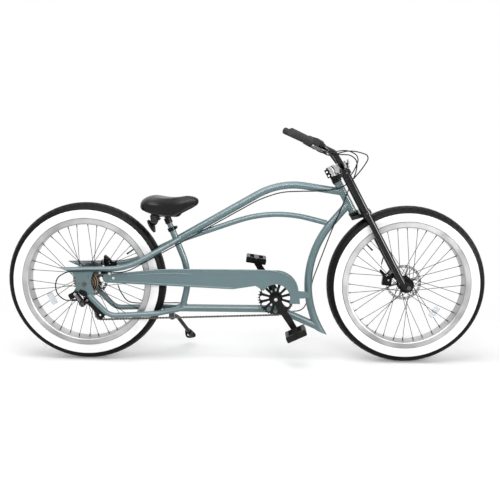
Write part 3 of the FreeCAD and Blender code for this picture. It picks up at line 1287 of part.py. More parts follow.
def front_reflector():
    """A small square reflector on a stub fixed to the front of the stem's bar clamp."""
    centre = bar_centre() + V(STEM_R + 9, 0, 10)
    size = FRONT_LENS
    lens = Part.makeBox(size.x, size.y, size.z, centre - V(size.x / 2, size.y / 2, size.z / 2))
    forward = [edge for edge in lens.Edges if abs(edge.tangentAt(edge.FirstParameter).x) > 0.9]
    lens = lens.makeFillet(7.0, forward)
    stub = Part.makeBox(STEM_R + 9, 14, 12, bar_centre() + V(0, -7, 2))
    clamp = Part.makeCylinder(STEM_R - 1, 2 * STEM_CLAMP_HALF, V(STEM_REACH, -STEM_CLAMP_HALF, BAR_Z), Y_AXIS)
    return largest(fused([lens, stub]).cut(in_steering(clamp)))


def reflector(radius, depth, stalk):
    """A round reflector facing -X at the origin, with a tapered back and a stalk behind it."""
    cup = Part.makeCylinder(radius, depth * 0.6, ORIGIN, X_AXIS)
    back = Part.makeCone(radius, radius * 0.35, depth * 0.8, V(depth * 0.6, 0, 0), X_AXIS)
    arm = bar(V(depth, 0, 0), V(depth + stalk, 0, 0), 5.0)
    return fused([cup, back, arm])


# Brakes

def caliper_pivot():
    inner = ROTOR_R - CALIPER_DEPTH * 0.6
    return V((inner + ROTOR_R + 2) / 2, CALIPER_OUTER, 0)


def caliper(centre, angle, rotor_y):
    """A brake caliper body straddling the disc's rim, and the arm that works it."""
    inner = ROTOR_R - CALIPER_DEPTH * 0.6
    outer = inner + CALIPER_DEPTH
    low = -CALIPER_INNER
    high = CALIPER_OUTER
    gap = ROTOR_WIDTH / 2 + PAD_GAP
    floor = ROTOR_R + 2
    corners = [V(inner, low, 0), V(outer - 5, low, 0), V(outer, low + 5, 0), V(outer, high - 5, 0),
               V(outer - 5, high, 0), V(inner, high, 0), V(inner, gap, 0), V(floor, gap, 0),
               V(floor, -gap, 0), V(inner, -gap, 0)]
    body = Part.Face(Part.makePolygon(corners + corners[:1])).translated(V(0, 0, -CALIPER_HALF))
    body = body.extrude(V(0, 0, 2 * CALIPER_HALF))
    pivot = caliper_pivot()
    pin = bar(pivot - Y_AXIS * 2, pivot + Y_AXIS * 12, CALIPER_PIN_R)
    drum = bar(pivot - Y_AXIS * 2, pivot + Y_AXIS * 3, 13)
    end = pivot + CALIPER_ARM
    lever = plate(capsule(V(pivot.x, 0, 0), V(end.x, 0, end.z), 11, EYE_R), high + 3 + SEAT, high + ARM_OUTER)
    lever = lever.cut(bar(pivot, pivot + Y_AXIS * 20, CALIPER_PIN_R + RUN))
    place = lambda shape: shape.translated(V(0, rotor_y, 0)).rotated(ORIGIN, Y_AXIS, -angle).translated(centre)
    return place(fused([body, pin, drum])), place(lever), pivot


def front_brake(legs):
    """The front caliper, on a bracket from the left leg."""
    body, arm, _ = caliper(FRONT_AXLE, FRONT_CALIPER_ANGLE, FRONT_ROTOR_Y)
    leg_x = LEG_RAKE
    tab = flat(V(leg_x, 0, -AXLE_DROP + 36), [V(leg_x, 0, -AXLE_DROP + 84), V(leg_x - 58, 0, -AXLE_DROP + 58),
                                              V(leg_x - 52, 0, -AXLE_DROP + 34), V(leg_x, 0, -AXLE_DROP + 36)])
    high = FRONT_ROTOR_Y + CALIPER_OUTER
    bracket = in_steering(plate(tab, high - 6, high))
    solid = Part.makeCylinder(LEG_R, 400, V(LEG_RAKE, LEG_HALF, -AXLE_DROP))
    return largest(fused([body, bracket]).cut([in_steering(solid)] + legs)), arm


def rear_brake(stay_outers):
    """The rear caliper, hung from the left upper stay."""
    body, arm, _ = caliper(REAR_AXLE, REAR_CALIPER_ANGLE, REAR_ROTOR_Y)
    tab = flat(V(-648, 0, 392), [V(-596, 0, 388), V(-592, 0, 428), V(-652, 0, 424), V(-648, 0, 392)])
    high = REAR_ROTOR_Y + CALIPER_OUTER
    bracket = plate(tab, high - 5, high + 6)
    return coped(fused([body, bracket]), *stay_outers), arm


# Seat

def seat_direction():
    return unit(SEAT_CORNER - SEAT_TOP)


def seat_post():
    """A plain post that slides in the seat tube."""
    low = SEAT_TOP + seat_direction() * POST_INSERT
    high = SEAT_TOP - seat_direction() * POST_TOP.distanceToPoint(SEAT_TOP)
    return ring(low, high, POST_R, POST_R - 2.2)


def seat_clamp():
    """A split collar round the seat tube's mouth, drawn tight by a cross bolt."""
    down = seat_direction()
    low = SEAT_TOP + down * COLLAR_HEIGHT
    collar = ring(low, SEAT_TOP, COLLAR_R, SEAT_OD / 2 + FIT)
    middle = SEAT_TOP + down * (COLLAR_HEIGHT / 2)
    back = unit(down.cross(Y_AXIS))
    lug = middle + back * (COLLAR_R + 2)
    ears = bar(lug - Y_AXIS * 11, lug + Y_AXIS * 11, 6.5)
    slit = Part.makeBox(30, 2.5, 60, V(lug.x - 22, -1.25, lug.z - 30))
    bolt = bar(lug - Y_AXIS * 17, lug + Y_AXIS * 17, 3.2)
    bore = bar(low - down * -1, SEAT_TOP - down, SEAT_OD / 2 + FIT)
    return [fused([collar, ears]).cut([bore, slit, bolt]), bolt]


def saddle_section(x, width, low, shoulder, crown_z, inset, roof):
    """One closed cross-section of the saddle: a crowned top, drawn-in sides and a flat lower edge."""
    half = width / 2 - inset
    top = crown_z - roof
    side = min(shoulder, top - 4)
    foot = half * 0.78
    waist = V(x, half * 0.97, (side + low) / 2)
    points = [V(x, foot, low), waist, V(x, half, side), V(x, 0, top)]
    other = lambda point: V(point.x, -point.y, point.z)
    return Part.Wire([Part.Arc(points[0], points[1], points[2]).toShape(),
                      Part.Arc(points[2], points[3], other(points[2])).toShape(),
                      Part.Arc(other(points[2]), other(points[1]), other(points[0])).toShape(),
                      Part.LineSegment(other(points[0]), points[0]).toShape()])


def saddle():
    """A broad padded saddle with a raised nose, hollow underneath for its rails."""
    skin = Part.makeLoft([saddle_section(*row, 0, 0) for row in SADDLE], True, False)
    inner = [(x, width, low - 12, shoulder, crown_z) for x, width, low, shoulder, crown_z in SADDLE[1:-2]]
    cavity = Part.makeLoft([saddle_section(*row, SADDLE_SKIRT, SADDLE_ROOF) for row in inner], True, True)
    return largest(skin.cut(cavity))


def saddle_frame():
    """Two wire rails under the saddle and the clamp that holds them on the seat post."""
    rails = []
    for side in (-1, 1):
        points = [V(-266, side * 8, 704.1), V(-300, side * RAIL_HALF, RAIL_Z), V(-398, side * RAIL_HALF, RAIL_Z),
                  V(-434, side * 48, 703)]
        rails.append(sweep(route(points, 22.0), RAIL_R))
    top = SEAT_TOP - seat_direction() * POST_TOP.distanceToPoint(SEAT_TOP)
    hoop = bar(top + seat_direction() * 24, top - seat_direction() * 2, POST_R + 4)
    yoke = bar(V(top.x, -RAIL_HALF - 9, RAIL_Z), V(top.x, RAIL_HALF + 9, RAIL_Z), 11.0)
    bore = bar(top + seat_direction() * 24, top, POST_R + FIT)
    clamp = fused([hoop, yoke]).cut([bore] + rails)
    nuts = [bar(V(top.x, side * (RAIL_HALF + 9), RAIL_Z), V(top.x, side * (RAIL_HALF + 15), RAIL_Z), 7.0)
            for side in (-1, 1)]
    return Part.makeCompound(rails + [clamp] + nuts)


def rear_reflector():
    """A tilted reflector on a bracket from the saddle's rails."""
    body = reflector(REFLECTOR_R, REFLECTOR_DEPTH, 14)
    body = body.rotated(ORIGIN, Y_AXIS, -REAR_REFLECTOR_TILT).translated(REAR_REFLECTOR_AT)
    joint = REAR_REFLECTOR_AT + V(24, 0, 13)
    foot = V(-392, 0, RAIL_Z - RAIL_R - 4)
    stalk = bar(joint, foot, 5.0)
    cross = bar(foot - Y_AXIS * (RAIL_HALF + 4), foot + Y_AXIS * (RAIL_HALF + 4), 3.8)
    return fused([body, stalk, cross])


# Kickstand

def kickstand():
    """A bent leg on the bracket's slanted pin, ending in a rubber-shod foot."""
    axis = unit(STAND_AXIS)
    boss = bar(STAND_PIVOT - axis * STAND_BOSS_R, STAND_PIVOT + axis * STAND_BOSS_R, STAND_BOSS_R)
    leg = sweep(route([STAND_PIVOT, STAND_KNEE, STAND_FOOT], 60.0), STAND_R)
    ahead = unit(STAND_FOOT - STAND_KNEE)
    shoe = bar(STAND_FOOT - ahead * 30, STAND_FOOT + ahead * 8, STAND_R + 4)
    hole = bar(STAND_PIVOT - axis * 30, STAND_PIVOT + axis * 30, STAND_PIN_R + RUN)
    return fused([boss, leg, shoe]).cut(hole)


def build():
    tubes, stay_outers, down_outer = frame_tubes()
    legs = fork_legs()
    front_body, front_arm = front_brake(legs)
    rear_body, rear_arm = rear_brake(stay_outers)
    nodes = dict(tubes)
    nodes.update(wheel_parts(REAR_AXLE, False))
    nodes.update(wheel_parts(FRONT_AXLE, True))
    nodes["bearing_cups"] = bearing_cups()
    nodes["chain_guard"] = chain_guard(down_outer, stay_outers)
    nodes["seat_clamp"] = Part.makeCompound(seat_clamp())
    nodes["rear_caliper"] = rear_body
    nodes["rear_caliper_arm"] = rear_arm
    nodes["rear_axle"] = axle(REAR_AXLE, REAR_HALF, CASSETTE_END, hub_left(REAR_ROTOR_Y), PLATE_Y + NUT_WIDTH + 3)
    nodes["chain"] = chain()
    nodes["derailleur_body"] = derailleur_body()
    nodes["derailleur_cage"] = derailleur_cage()
    nodes["guide_pulley"] = pulley(GUIDE)
    nodes["tension_pulley"] = pulley(TENSION)
    nodes["cassette"] = cassette()
    nodes["chainring"] = chainring()
    nodes["crank_arms"] = crank_arms()
    nodes["right_pedal"] = pedal(-1, RIGHT_PEDAL_TILT)
    nodes["left_pedal"] = pedal(1, LEFT_PEDAL_TILT)
    nodes["fork_crowns"] = fork_crowns()
    nodes["fork_legs"] = Part.makeCompound(legs)
    nodes["stem"] = Part.makeCompound(stem())
    nodes["handlebar"] = handlebar()
    nodes["grips"] = Part.makeCompound(grips())
    nodes["twist_grip"] = twist_grip()
    nodes["lever_brackets"] = Part.makeCompound(lever_brackets())
    lever = brake_lever()
    nodes["right_brake_lever"] = lever
    nodes["left_brake_lever"] = mirrored(lever)
    nodes["front_caliper"] = front_body
    nodes["front_caliper_arm"] = front_arm
    nodes["front_axle"] = axle(FRONT_AXLE, FRONT_HALF, HUB_RIGHT, hub_left(FRONT_ROTOR_Y),
                               LEG_HALF + LEG_R - 2 + NUT_WIDTH + 3)
    nodes["seat_post"] = seat_post()
    nodes["saddle"] = saddle()
    nodes["saddle_frame"] = saddle_frame()
    nodes["rear_reflector"] = rear_reflector()
    nodes["kickstand"] = kickstand()
    nodes["shift_cable"] = shift_cable()
    nodes["rear_brake_cable"] = rear_brake_cable()
    nodes["front_brake_cable"] = front_brake_cable()
    nodes["front_reflector"] = front_reflector()
    return nodes


os.makedirs("parts", exist_ok=True)
for node, shape in build().items():
    solids = shape.Solids
    valid = all(solid.isValid() for solid in solids)
    print(node, len(solids), "valid" if valid else "INVALID", round(shape.Volume / 1000.0, 1))
    shape.exportStep("parts/" + node + ".step")
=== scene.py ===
"""Dress the stretched cruiser bicycle: finishes for its solids, and its soft and fine pieces."""
import json
import logging
import math
from dataclasses import asdict, dataclass, replace
from enum import Enum
from typing import Any, Callable, Dict, List, Optional, Sequence, Tuple

import bpy
from mathutils import Matrix, Vector

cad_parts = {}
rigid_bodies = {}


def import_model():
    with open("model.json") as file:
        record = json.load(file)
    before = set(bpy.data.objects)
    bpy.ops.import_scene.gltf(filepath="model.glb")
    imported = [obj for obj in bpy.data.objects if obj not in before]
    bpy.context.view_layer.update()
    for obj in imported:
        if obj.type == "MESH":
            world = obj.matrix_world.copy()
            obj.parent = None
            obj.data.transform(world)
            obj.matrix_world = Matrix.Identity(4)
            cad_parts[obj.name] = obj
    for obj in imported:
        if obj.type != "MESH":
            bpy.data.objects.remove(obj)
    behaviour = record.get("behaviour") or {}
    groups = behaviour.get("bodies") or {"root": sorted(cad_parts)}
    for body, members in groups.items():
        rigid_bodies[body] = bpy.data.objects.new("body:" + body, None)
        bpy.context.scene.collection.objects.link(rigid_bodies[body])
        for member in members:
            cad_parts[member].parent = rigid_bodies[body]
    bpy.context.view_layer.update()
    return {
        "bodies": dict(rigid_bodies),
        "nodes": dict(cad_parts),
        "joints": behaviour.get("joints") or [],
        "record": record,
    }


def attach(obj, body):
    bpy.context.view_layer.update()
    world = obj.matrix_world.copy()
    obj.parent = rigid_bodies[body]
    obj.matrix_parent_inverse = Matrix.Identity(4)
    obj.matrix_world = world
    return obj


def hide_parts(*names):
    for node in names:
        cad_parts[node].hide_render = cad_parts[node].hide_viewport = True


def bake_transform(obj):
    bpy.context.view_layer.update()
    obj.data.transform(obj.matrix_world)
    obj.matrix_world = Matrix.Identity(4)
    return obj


LOG = logging.getLogger("cruiser")
Point = Tuple[float, float, float]
Flat = Tuple[float, float]
Line = Tuple[Flat, ...]
Colour = Tuple[float, float, float]
Solids = Dict[str, bpy.types.Object]
Socket = bpy.types.NodeSocket

RIGHT: Point = (0.0, -1.0, 0.0)
LEFT: Point = (0.0, 1.0, 0.0)
SIDES = (("right", -1.0), ("left", 1.0))
MIRROR = Vector((1.0, -1.0, 1.0))
WHITE = (1.0, 1.0, 1.0, 1.0)
BLACK_PAINT: Colour = (0.004, 0.004, 0.0045)
HEAD: Point = (0.43003, 0.0, 0.74206)
STEER_UP: Point = (-0.47716, 0.0, 0.87882)
STEER_AHEAD: Point = (0.87882, 0.0, 0.47716)
REAR_AXLE: Point = (-0.710, 0.0, 0.353)
FRONT_AXLE: Point = (0.710, 0.0, 0.353)


# Bench tools

def clear_selection() -> None:
    """Return to object mode with nothing selected."""
    if bpy.context.object is not None and bpy.context.object.mode != "OBJECT":
        bpy.ops.object.mode_set(mode="OBJECT")
    bpy.ops.object.select_all(action="DESELECT")


def take_up(piece: bpy.types.Object) -> None:
    """Make one piece the only selected and the active object."""
    clear_selection()
    piece.select_set(True)
    bpy.context.view_layer.objects.active = piece


def edit_all(piece: bpy.types.Object) -> None:
    """Enter edit mode with all of a piece selected."""
    take_up(piece)
    bpy.ops.object.mode_set(mode="EDIT")
    bpy.ops.mesh.select_mode(type="VERT")
    bpy.ops.mesh.select_all(action="SELECT")


def face_outwards() -> None:
    """Turn the faces of the piece in edit mode outwards and leave that mode."""
    bpy.ops.mesh.select_all(action="SELECT")
    bpy.ops.mesh.normals_make_consistent(inside=False)
    bpy.ops.object.mode_set(mode="OBJECT")


def choose_faces(piece: bpy.types.Object, wanted: Callable[[bpy.types.MeshPolygon], bool]) -> None:
    """Enter edit mode with only the wanted faces selected.

    Args:
        piece: the mesh object.
        wanted: says of each face whether it is chosen.
    """
    take_up(piece)
    bpy.ops.object.mode_set(mode="EDIT")
    bpy.ops.mesh.select_mode(type="FACE")
    bpy.ops.mesh.select_all(action="DESELECT")
    bpy.ops.object.mode_set(mode="OBJECT")
    for face in piece.data.polygons:
        face.select = wanted(face)
    bpy.ops.object.mode_set(mode="EDIT")


def looks_up(face: bpy.types.MeshPolygon) -> bool:
    """Whether a face looks along the Z axis."""
    return face.normal.z > 0.9


def linked(name: str, data: bpy.types.ID) -> bpy.types.Object:
    """A new object of a mesh, curve, lamp or camera, put into the scene."""
    made = bpy.data.objects.new(name, data)
    bpy.context.scene.collection.objects.link(made)
    return made


def settle(piece: bpy.types.Object, place: Matrix) -> None:
    """Put a piece in its place and write that place into its mesh.

    Args:
        piece: the new object.
        place: where its own origin and axes go in the bicycle's frame.
    """
    piece.matrix_world = place
    take_up(piece)
    bpy.ops.object.transform_apply(location=True, rotation=True, scale=True)


def facing(origin: Sequence[float], normal: Sequence[float]) -> Matrix:
    """The place for settle() at an origin, with its Z axis along a direction."""
    turn = Vector(normal).to_track_quat("Z", "Y").to_matrix().to_4x4()
    return Matrix.Translation(Vector(origin)) @ turn


def lying(origin: Sequence[float], along: Vector, out: Vector) -> Matrix:
    """The place for settle() at an origin, with its X axis along a plate and its Z axis out of it."""
    turn = Matrix((along, out.cross(along), out)).transposed().to_4x4()
    return Matrix.Translation(Vector(origin)) @ turn


def drawn(name: str, points: Sequence[Point]) -> bpy.types.Object:
    """Draw edges from point to point, and stay in edit mode with all of them selected.

    Args:
        name: the piece's name.
        points: the line's points, in order.

    Returns:
        The object being drawn.
    """
    clear_selection()
    bpy.ops.mesh.primitive_plane_add(size=0.01)
    piece = bpy.context.active_object
    piece.name = name
    edit_all(piece)
    bpy.ops.mesh.merge(type="CENTER")
    bpy.ops.transform.translate(value=points[0])
    for start, end in zip(points, points[1:]):
        move = tuple(b - a for a, b in zip(start, end))
        bpy.ops.mesh.extrude_region_move(TRANSFORM_OT_translate={"value": move})
    bpy.ops.mesh.select_all(action="SELECT")
    return piece


def turned(name: str, outline: Sequence[Flat], steps: int) -> bpy.types.Object:
    """Spin an outline about the Z axis.

    Args:
        name: the piece's name.
        outline: points of (radius, height), in order.
        steps: faces round the turn.

    Returns:
        The turned object, with its outward faces.
    """
    piece = drawn(name, [(radius, 0.0, height) for radius, height in outline])
    bpy.ops.mesh.spin(steps=steps, angle=2 * math.pi, center=(0, 0, 0), axis=(0, 0, 1))
    bpy.ops.mesh.select_all(action="SELECT")
    bpy.ops.mesh.remove_doubles(threshold=0.00001)
    face_outwards()
    return piece


def soften(piece: bpy.types.Object, degrees: float = 35.0) -> None:
    """Shade a piece smooth except across its sharp edges."""
    take_up(piece)
    bpy.ops.object.shade_smooth_by_angle(angle=math.radians(degrees))


def finish_edges(piece: bpy.types.Object, width: float) -> None:
    """Round a piece's sharp edges with an applied bevel, and shade it.

    Args:
        piece: the mesh object.
        width: the bevel's width in metres.
    """
    take_up(piece)
    bevel = piece.modifiers.new("edge", "BEVEL")
    bevel.width = width
    bevel.segments = 2
    bevel.limit_method = "ANGLE"
    bpy.ops.object.modifier_apply(modifier=bevel.name)
    soften(piece)


def wire_along(name: str, points: Sequence[Point], radius: float, cyclic: bool = False) -> bpy.types.Object:
    """A round cord along a smooth line, made a mesh.

    Args:
        name: the piece's name.
        points: the line's control points.
        radius: the cord's radius.
        cyclic: whether the line closes on itself.

    Returns:
        The mesh object.
    """
    curve = bpy.data.curves.new(name, "CURVE")
    curve.dimensions = "3D"
    curve.bevel_depth = radius
    curve.bevel_resolution = 3
    curve.use_fill_caps = True
    spline = curve.splines.new("NURBS")
    spline.points.add(len(points) - 1)
    for control, point in zip(spline.points, points):
        control.co = (*point, 1.0)
    spline.order_u = 3
    spline.use_endpoint_u = not cyclic
    spline.use_cyclic_u = cyclic
    spline.resolution_u = 6
    take_up(linked(name, curve))
    bpy.ops.object.convert(target="MESH")
    return bpy.context.active_object


def rounded_plate(name: str, length: float, width: float, corner: float, thickness: float) -> bpy.types.Object:
    """A flat plate with round corners and a sunk face, its back on the XY plane.

    Args:
        name: the piece's name.
        length: its size along X.
        width: its size along Y.
        corner: the radius of its corners.
        thickness: its height along Z.

    Returns:
        The plate, at the origin.
    """
    rim, slope = corner * 0.45, corner * 0.1
    sink, edge = thickness * 0.35, thickness * 0.2
    clear_selection()
    bpy.ops.mesh.primitive_plane_add(size=1.0)
    piece = bpy.context.active_object
    piece.name = name
    edit_all(piece)
    bpy.ops.transform.resize(value=(length, width, 1.0))
    bpy.ops.mesh.bevel(offset=corner, offset_type="OFFSET", segments=6, affect="VERTICES")
    bpy.ops.mesh.select_all(action="SELECT")
    bpy.ops.mesh.extrude_region_move(TRANSFORM_OT_translate={"value": (0.0, 0.0, thickness)})
    face_outwards()
    choose_faces(piece, looks_up)
    bpy.ops.mesh.inset(thickness=rim, depth=0.0)
    bpy.ops.mesh.inset(thickness=slope, depth=-sink)
    bpy.ops.object.mode_set(mode="OBJECT")
    finish_edges(piece, edge)
    return piece


def flat_plate(name: str, outline: Sequence[Flat], back: float, front: float, edge: float) -> bpy.types.Object:
    """A plate cut to an outline in the XZ plane, with rounded edges.

    Args:
        name: the piece's name.
        outline: points of (x, z) round it.
        back: the y of its back.
        front: the y of its face.
        edge: how far its edges are rounded.

    Returns:
        The plate, in place.
    """
    piece = drawn(name, [(x, back, z) for x, z in outline])
    bpy.ops.mesh.edge_face_add()
    bpy.ops.mesh.extrude_region_move(TRANSFORM_OT_translate={"value": (0.0, front - back, 0.0)})
    face_outwards()
    finish_edges(piece, edge)
    return piece


def copied(pattern: bpy.types.Object, name: str, place: Matrix) -> bpy.types.Object:
    """Copy a pattern to a place, with a mesh of its own.

    Args:
        pattern: the piece that repeats.
        name: the copy's name.
        place: where the copy goes.

    Returns:
        The copy.
    """
    copy = linked(name, pattern.data.copy())
    settle(copy, place)
    return copy


def paint(piece: bpy.types.Object, material: bpy.types.Material) -> None:
    """Give every material slot of a piece the same material."""
    if not piece.material_slots:
        piece.data.materials.append(material)
    for slot in piece.material_slots:
        slot.material = material


def dress(solids: Solids, look: "Look", *names: str) -> None:
    """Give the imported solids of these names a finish."""
    for name in names:
        paint(solids[name], look.material())


def add_piece(piece: bpy.types.Object, body: str, look: "Look", place: Optional[Matrix] = None) -> None:
    """Put a piece in its place and finish it.

    Args:
        piece: the mesh object.
        body: the body it rides on.
        look: its finish.
        place: where it goes, if it isn't there yet.
    """
    if place is not None:
        settle(piece, place)
    paint(piece, look.material())
    soften(piece)
    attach(piece, body)


@dataclass
class Fastener:
    """A socket-headed bolt, modelled once and copied to every place that has one."""

    radius: float
    height: float
    body: str
    look: "Look"
    sides: int = 18
    socket: float = 0.5
    rim: float = 0.06
    depth: float = 0.55
    edge: float = 0.14

    def _pattern(self) -> bpy.types.Object:
        """The bolt head of unit radius and height."""
        clear_selection()
        bpy.ops.mesh.primitive_cylinder_add(vertices=self.sides, radius=1.0, depth=1.0, location=(0.0, 0.0, 0.5))
        head = bpy.context.active_object
        head.name = "bolt_head_pattern"
        bpy.ops.object.transform_apply(location=True, rotation=True, scale=True)
        choose_faces(head, looks_up)
        bpy.ops.mesh.inset(thickness=1.0 - self.socket, depth=0.0)
        bpy.ops.mesh.inset(thickness=self.rim, depth=-self.depth)
        bpy.ops.object.mode_set(mode="OBJECT")
        finish_edges(head, self.edge)
        return head

    def fit(self, places: Sequence[Tuple[str, Point, Point]]) -> None:
        """Put a copy at each place.

        Args:
            places: each bolt's name, the foot of its head and the way it faces.
        """
        pattern = self._pattern()
        shape = Matrix.Diagonal((self.radius, self.radius, self.height, 1.0))
        for name, origin, normal in places:
            head = copied(pattern, name, facing(origin, normal) @ shape)
            paint(head, self.look.material())
            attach(head, self.body)
        bpy.data.objects.remove(pattern)
        LOG.info("%d bolts on %s", len(places), self.body)


# Finishes

class Graph:
    """A node tree, with one short way to add a node and join it to the others."""

    def __init__(self, tree: bpy.types.NodeTree) -> None:
        """Take hold of a node tree."""
        self.nodes, self.links = tree.nodes, tree.links

    def join(self, node: bpy.types.Node, inputs: Dict[Any, Any]) -> bpy.types.Node:
        """Fill a node's inputs.

        Args:
            node: the node.
            inputs: a socket to link or a value to set, by the input's name or number.

        Returns:
            The same node.
        """
        for key, value in inputs.items():
            if isinstance(value, Socket):
                self.links.new(value, node.inputs[key])
            else:
                node.inputs[key].default_value = value
        return node

    def add(self, kind: str, inputs: Dict[Any, Any], **options: Any) -> bpy.types.bpy_prop_collection:
        """Add a node.

        Args:
            kind: its type, without the word that all shader nodes start with.
            inputs: what its inputs get, as in join().
            options: its own options.

        Returns:
            Its outputs.
        """
        node = self.nodes.new("ShaderNode" + kind)
        for name, value in options.items():
            setattr(node, name, value)
        return self.join(node, inputs).outputs

    def math(self, operation: str, *values: Any) -> Socket:
        """Work out a value from sockets and numbers."""
        return self.add("Math", dict(enumerate(values)), operation=operation)["Value"]

    def product(self, masks: Sequence[Socket]) -> Socket:
        """Multiply masks with each other."""
        total = masks[0]
        for mask in masks[1:]:
            total = self.math("MULTIPLY", total, mask)
        return total

    def ramp(self, value: Socket, source: Tuple[Any, Any], target: Flat = (0.0, 1.0), **options: Any) -> Socket:
        """Map a value from one range to another, with any options of the node."""
        inputs = {"Value": value, "From Min": source[0], "From Max": source[1], "To Min": target[0],
                  "To Max": target[1]}
        return self.add("MapRange", inputs, **options)["Result"]

    def mix(self, factor: Socket, first: Any, second: Any) -> Socket:
        """Mix two colours."""
        return self.add("Mix", {"Factor": factor, "A": first, "B": second}, data_type="RGBA")["Result"]


class Effects:
    """Shared surface effects, each a shader node group that is built once."""

    made: Dict[str, bpy.types.ShaderNodeTree] = {}

    @classmethod
    def _group(cls, name: str, inputs: Dict[str, str], outputs: Sequence[str],
               fill: Callable[[Graph, Any], Sequence[Socket]]) -> bpy.types.ShaderNodeTree:
        """The group of a name, built on its first use.

        Args:
            name: the group's name.
            inputs: socket name to socket type.
            outputs: the names of the values that it puts out.
            fill: adds the nodes after the group's inputs, and returns what the outputs get.

        Returns:
            The group.
        """
        if name not in cls.made:
            tree = bpy.data.node_groups.new(name, "ShaderNodeTree")
            for socket, kind in inputs.items():
                tree.interface.new_socket(name=socket, in_out="INPUT", socket_type="NodeSocket" + kind)
            for socket in outputs:
                tree.interface.new_socket(name=socket, in_out="OUTPUT", socket_type="NodeSocketFloat")
            graph = Graph(tree)
            source, sink = tree.nodes.new("NodeGroupInput"), tree.nodes.new("NodeGroupOutput")
            graph.join(sink, dict(zip(outputs, fill(graph, source.outputs))))
            cls.made[name] = tree
        return cls.made[name]

    @classmethod
    def grain(cls) -> bpy.types.ShaderNodeTree:
        """Fine grain for bumps, and a broad tone for colour and gloss."""
        def fill(graph: Graph, source: Any) -> Sequence[Socket]:
            """Two noises, one at the given scale."""
            fine = graph.add("TexNoise", {"Vector": source["Vector"], "Scale": source["Scale"], "Detail": 3.0})
            broad = graph.add("TexNoise", {"Vector": source["Vector"], "Scale": 9.0, "Detail": 4.0})
            return fine["Fac"], broad["Fac"]

        return cls._group("fine grain", {"Vector": "Vector", "Scale": "Float"}, ("Height", "Tone"), fill)

    @classmethod
    def dust(cls) -> bpy.types.ShaderNodeTree:
        """A dust mask that gathers low down on the bicycle."""
        def fill(graph: Graph, source: Any) -> Sequence[Socket]:
            """Specks that thin out with height."""
            height = graph.add("SeparateXYZ", {"Vector": source["Vector"]})["Z"]
            fall = graph.ramp(height, (0.0, source["Reach"]), (1.0, 0.0))
            speck = graph.add("TexNoise", {"Vector": source["Vector"], "Scale": 38.0, "Detail": 5.0})
            return (graph.product((fall, speck["Fac"], source["Amount"])),)

        return cls._group("road dust", {"Vector": "Vector", "Reach": "Float", "Amount": "Float"}, ("Mask",), fill)

    @classmethod
    def radial(cls) -> bpy.types.ShaderNodeTree:
        """Distance from a wheel's axle and the angle round it, from a centred vector."""
        def fill(graph: Graph, source: Any) -> Sequence[Socket]:
            """Radius, angle and distance from the wheel's middle plane."""
            split = graph.add("SeparateXYZ", {"Vector": source["Vector"]})
            flat = graph.add("CombineXYZ", {"X": split["X"], "Z": split["Z"]})
            length = graph.add("VectorMath", {0: flat["Vector"]}, operation="LENGTH")
            return (length["Value"], graph.math("ARCTAN2", split["Z"], split["X"]),
                    graph.math("ABSOLUTE", split["Y"]))

        return cls._group("round the axle", {"Vector": "Vector"}, ("Radius", "Turn", "Across"), fill)


@dataclass(frozen=True)
class Finish:
    """A surface finish: its colour, gloss, grain and the dust it has picked up."""

    name: str
    colour: Colour
    roughness: float
    metallic: float = 0.0
    coat: float = 0.0
    coat_roughness: float = 0.1
    grain_scale: float = 500.0
    grain_depth: float = 0.04
    variation: float = 0.12
    gloss_change: float = 0.1
    dust: float = 0.0
    dust_reach: float = 0.45
    dust_colour: Colour = (0.32, 0.28, 0.23)
    specular: float = 0.5
    tone_range: Flat = (0.3, 0.7)
    glossiest: float = 0.03
    bump_height: float = 0.001

    def material(self) -> bpy.types.Material:
        """Build the material.

        Returns:
            A procedural material on the piece's own coordinates.
        """
        made = bpy.data.materials.new(self.name)
        made.use_nodes = True
        graph = Graph(made.node_tree)
        place = graph.add("TexCoord", {})["Object"]
        vector = self._vector(graph, place)
        grain = graph.add("Group", {"Scale": self.grain_scale, "Vector": vector}, node_tree=Effects.grain())
        colour = self._colour(graph, vector, grain["Tone"])
        if self.dust:
            dust = graph.add("Group", {"Reach": self.dust_reach, "Amount": self.dust, "Vector": place},
                             node_tree=Effects.dust())
            colour = graph.mix(dust["Mask"], colour, (*self.dust_colour, 1.0))
        change = self.gloss_change / 2
        gloss = (max(self.glossiest, self.roughness - change), min(1.0, self.roughness + change))
        bump = graph.add("Bump", {"Strength": self.grain_depth, "Distance": self.bump_height,
                                  "Height": self._height(graph, vector, grain["Height"])})
        graph.join(graph.nodes["Principled BSDF"], {
            "Metallic": self.metallic, "Specular IOR Level": self.specular, "Coat Weight": self.coat,
            "Coat Roughness": self.coat_roughness, "Base Color": colour, "Normal": bump["Normal"],
            "Roughness": graph.ramp(grain["Tone"], self.tone_range, gloss)})
        return made

    def _vector(self, graph: Graph, source: Socket) -> Socket:
        """The coordinates the finish is laid out on."""
        return source

    def _colour(self, graph: Graph, vector: Socket, tone: Socket) -> Socket:
        """The base colour, varied gently by the broad tone."""
        return self._toned(graph, self.colour, tone)

    def _toned(self, graph: Graph, colour: Colour, tone: Socket) -> Socket:
        """A plain colour made a little lighter and darker by a tone."""
        level = graph.ramp(tone, self.tone_range, (1.0 - self.variation / 2, 1.0 + self.variation / 2))
        return graph.add("HueSaturation", {"Color": (*colour, 1.0), "Value": level})["Color"]

    def _height(self, graph: Graph, vector: Socket, grain: Socket) -> Socket:
        """The height that the bump reads."""
        return grain


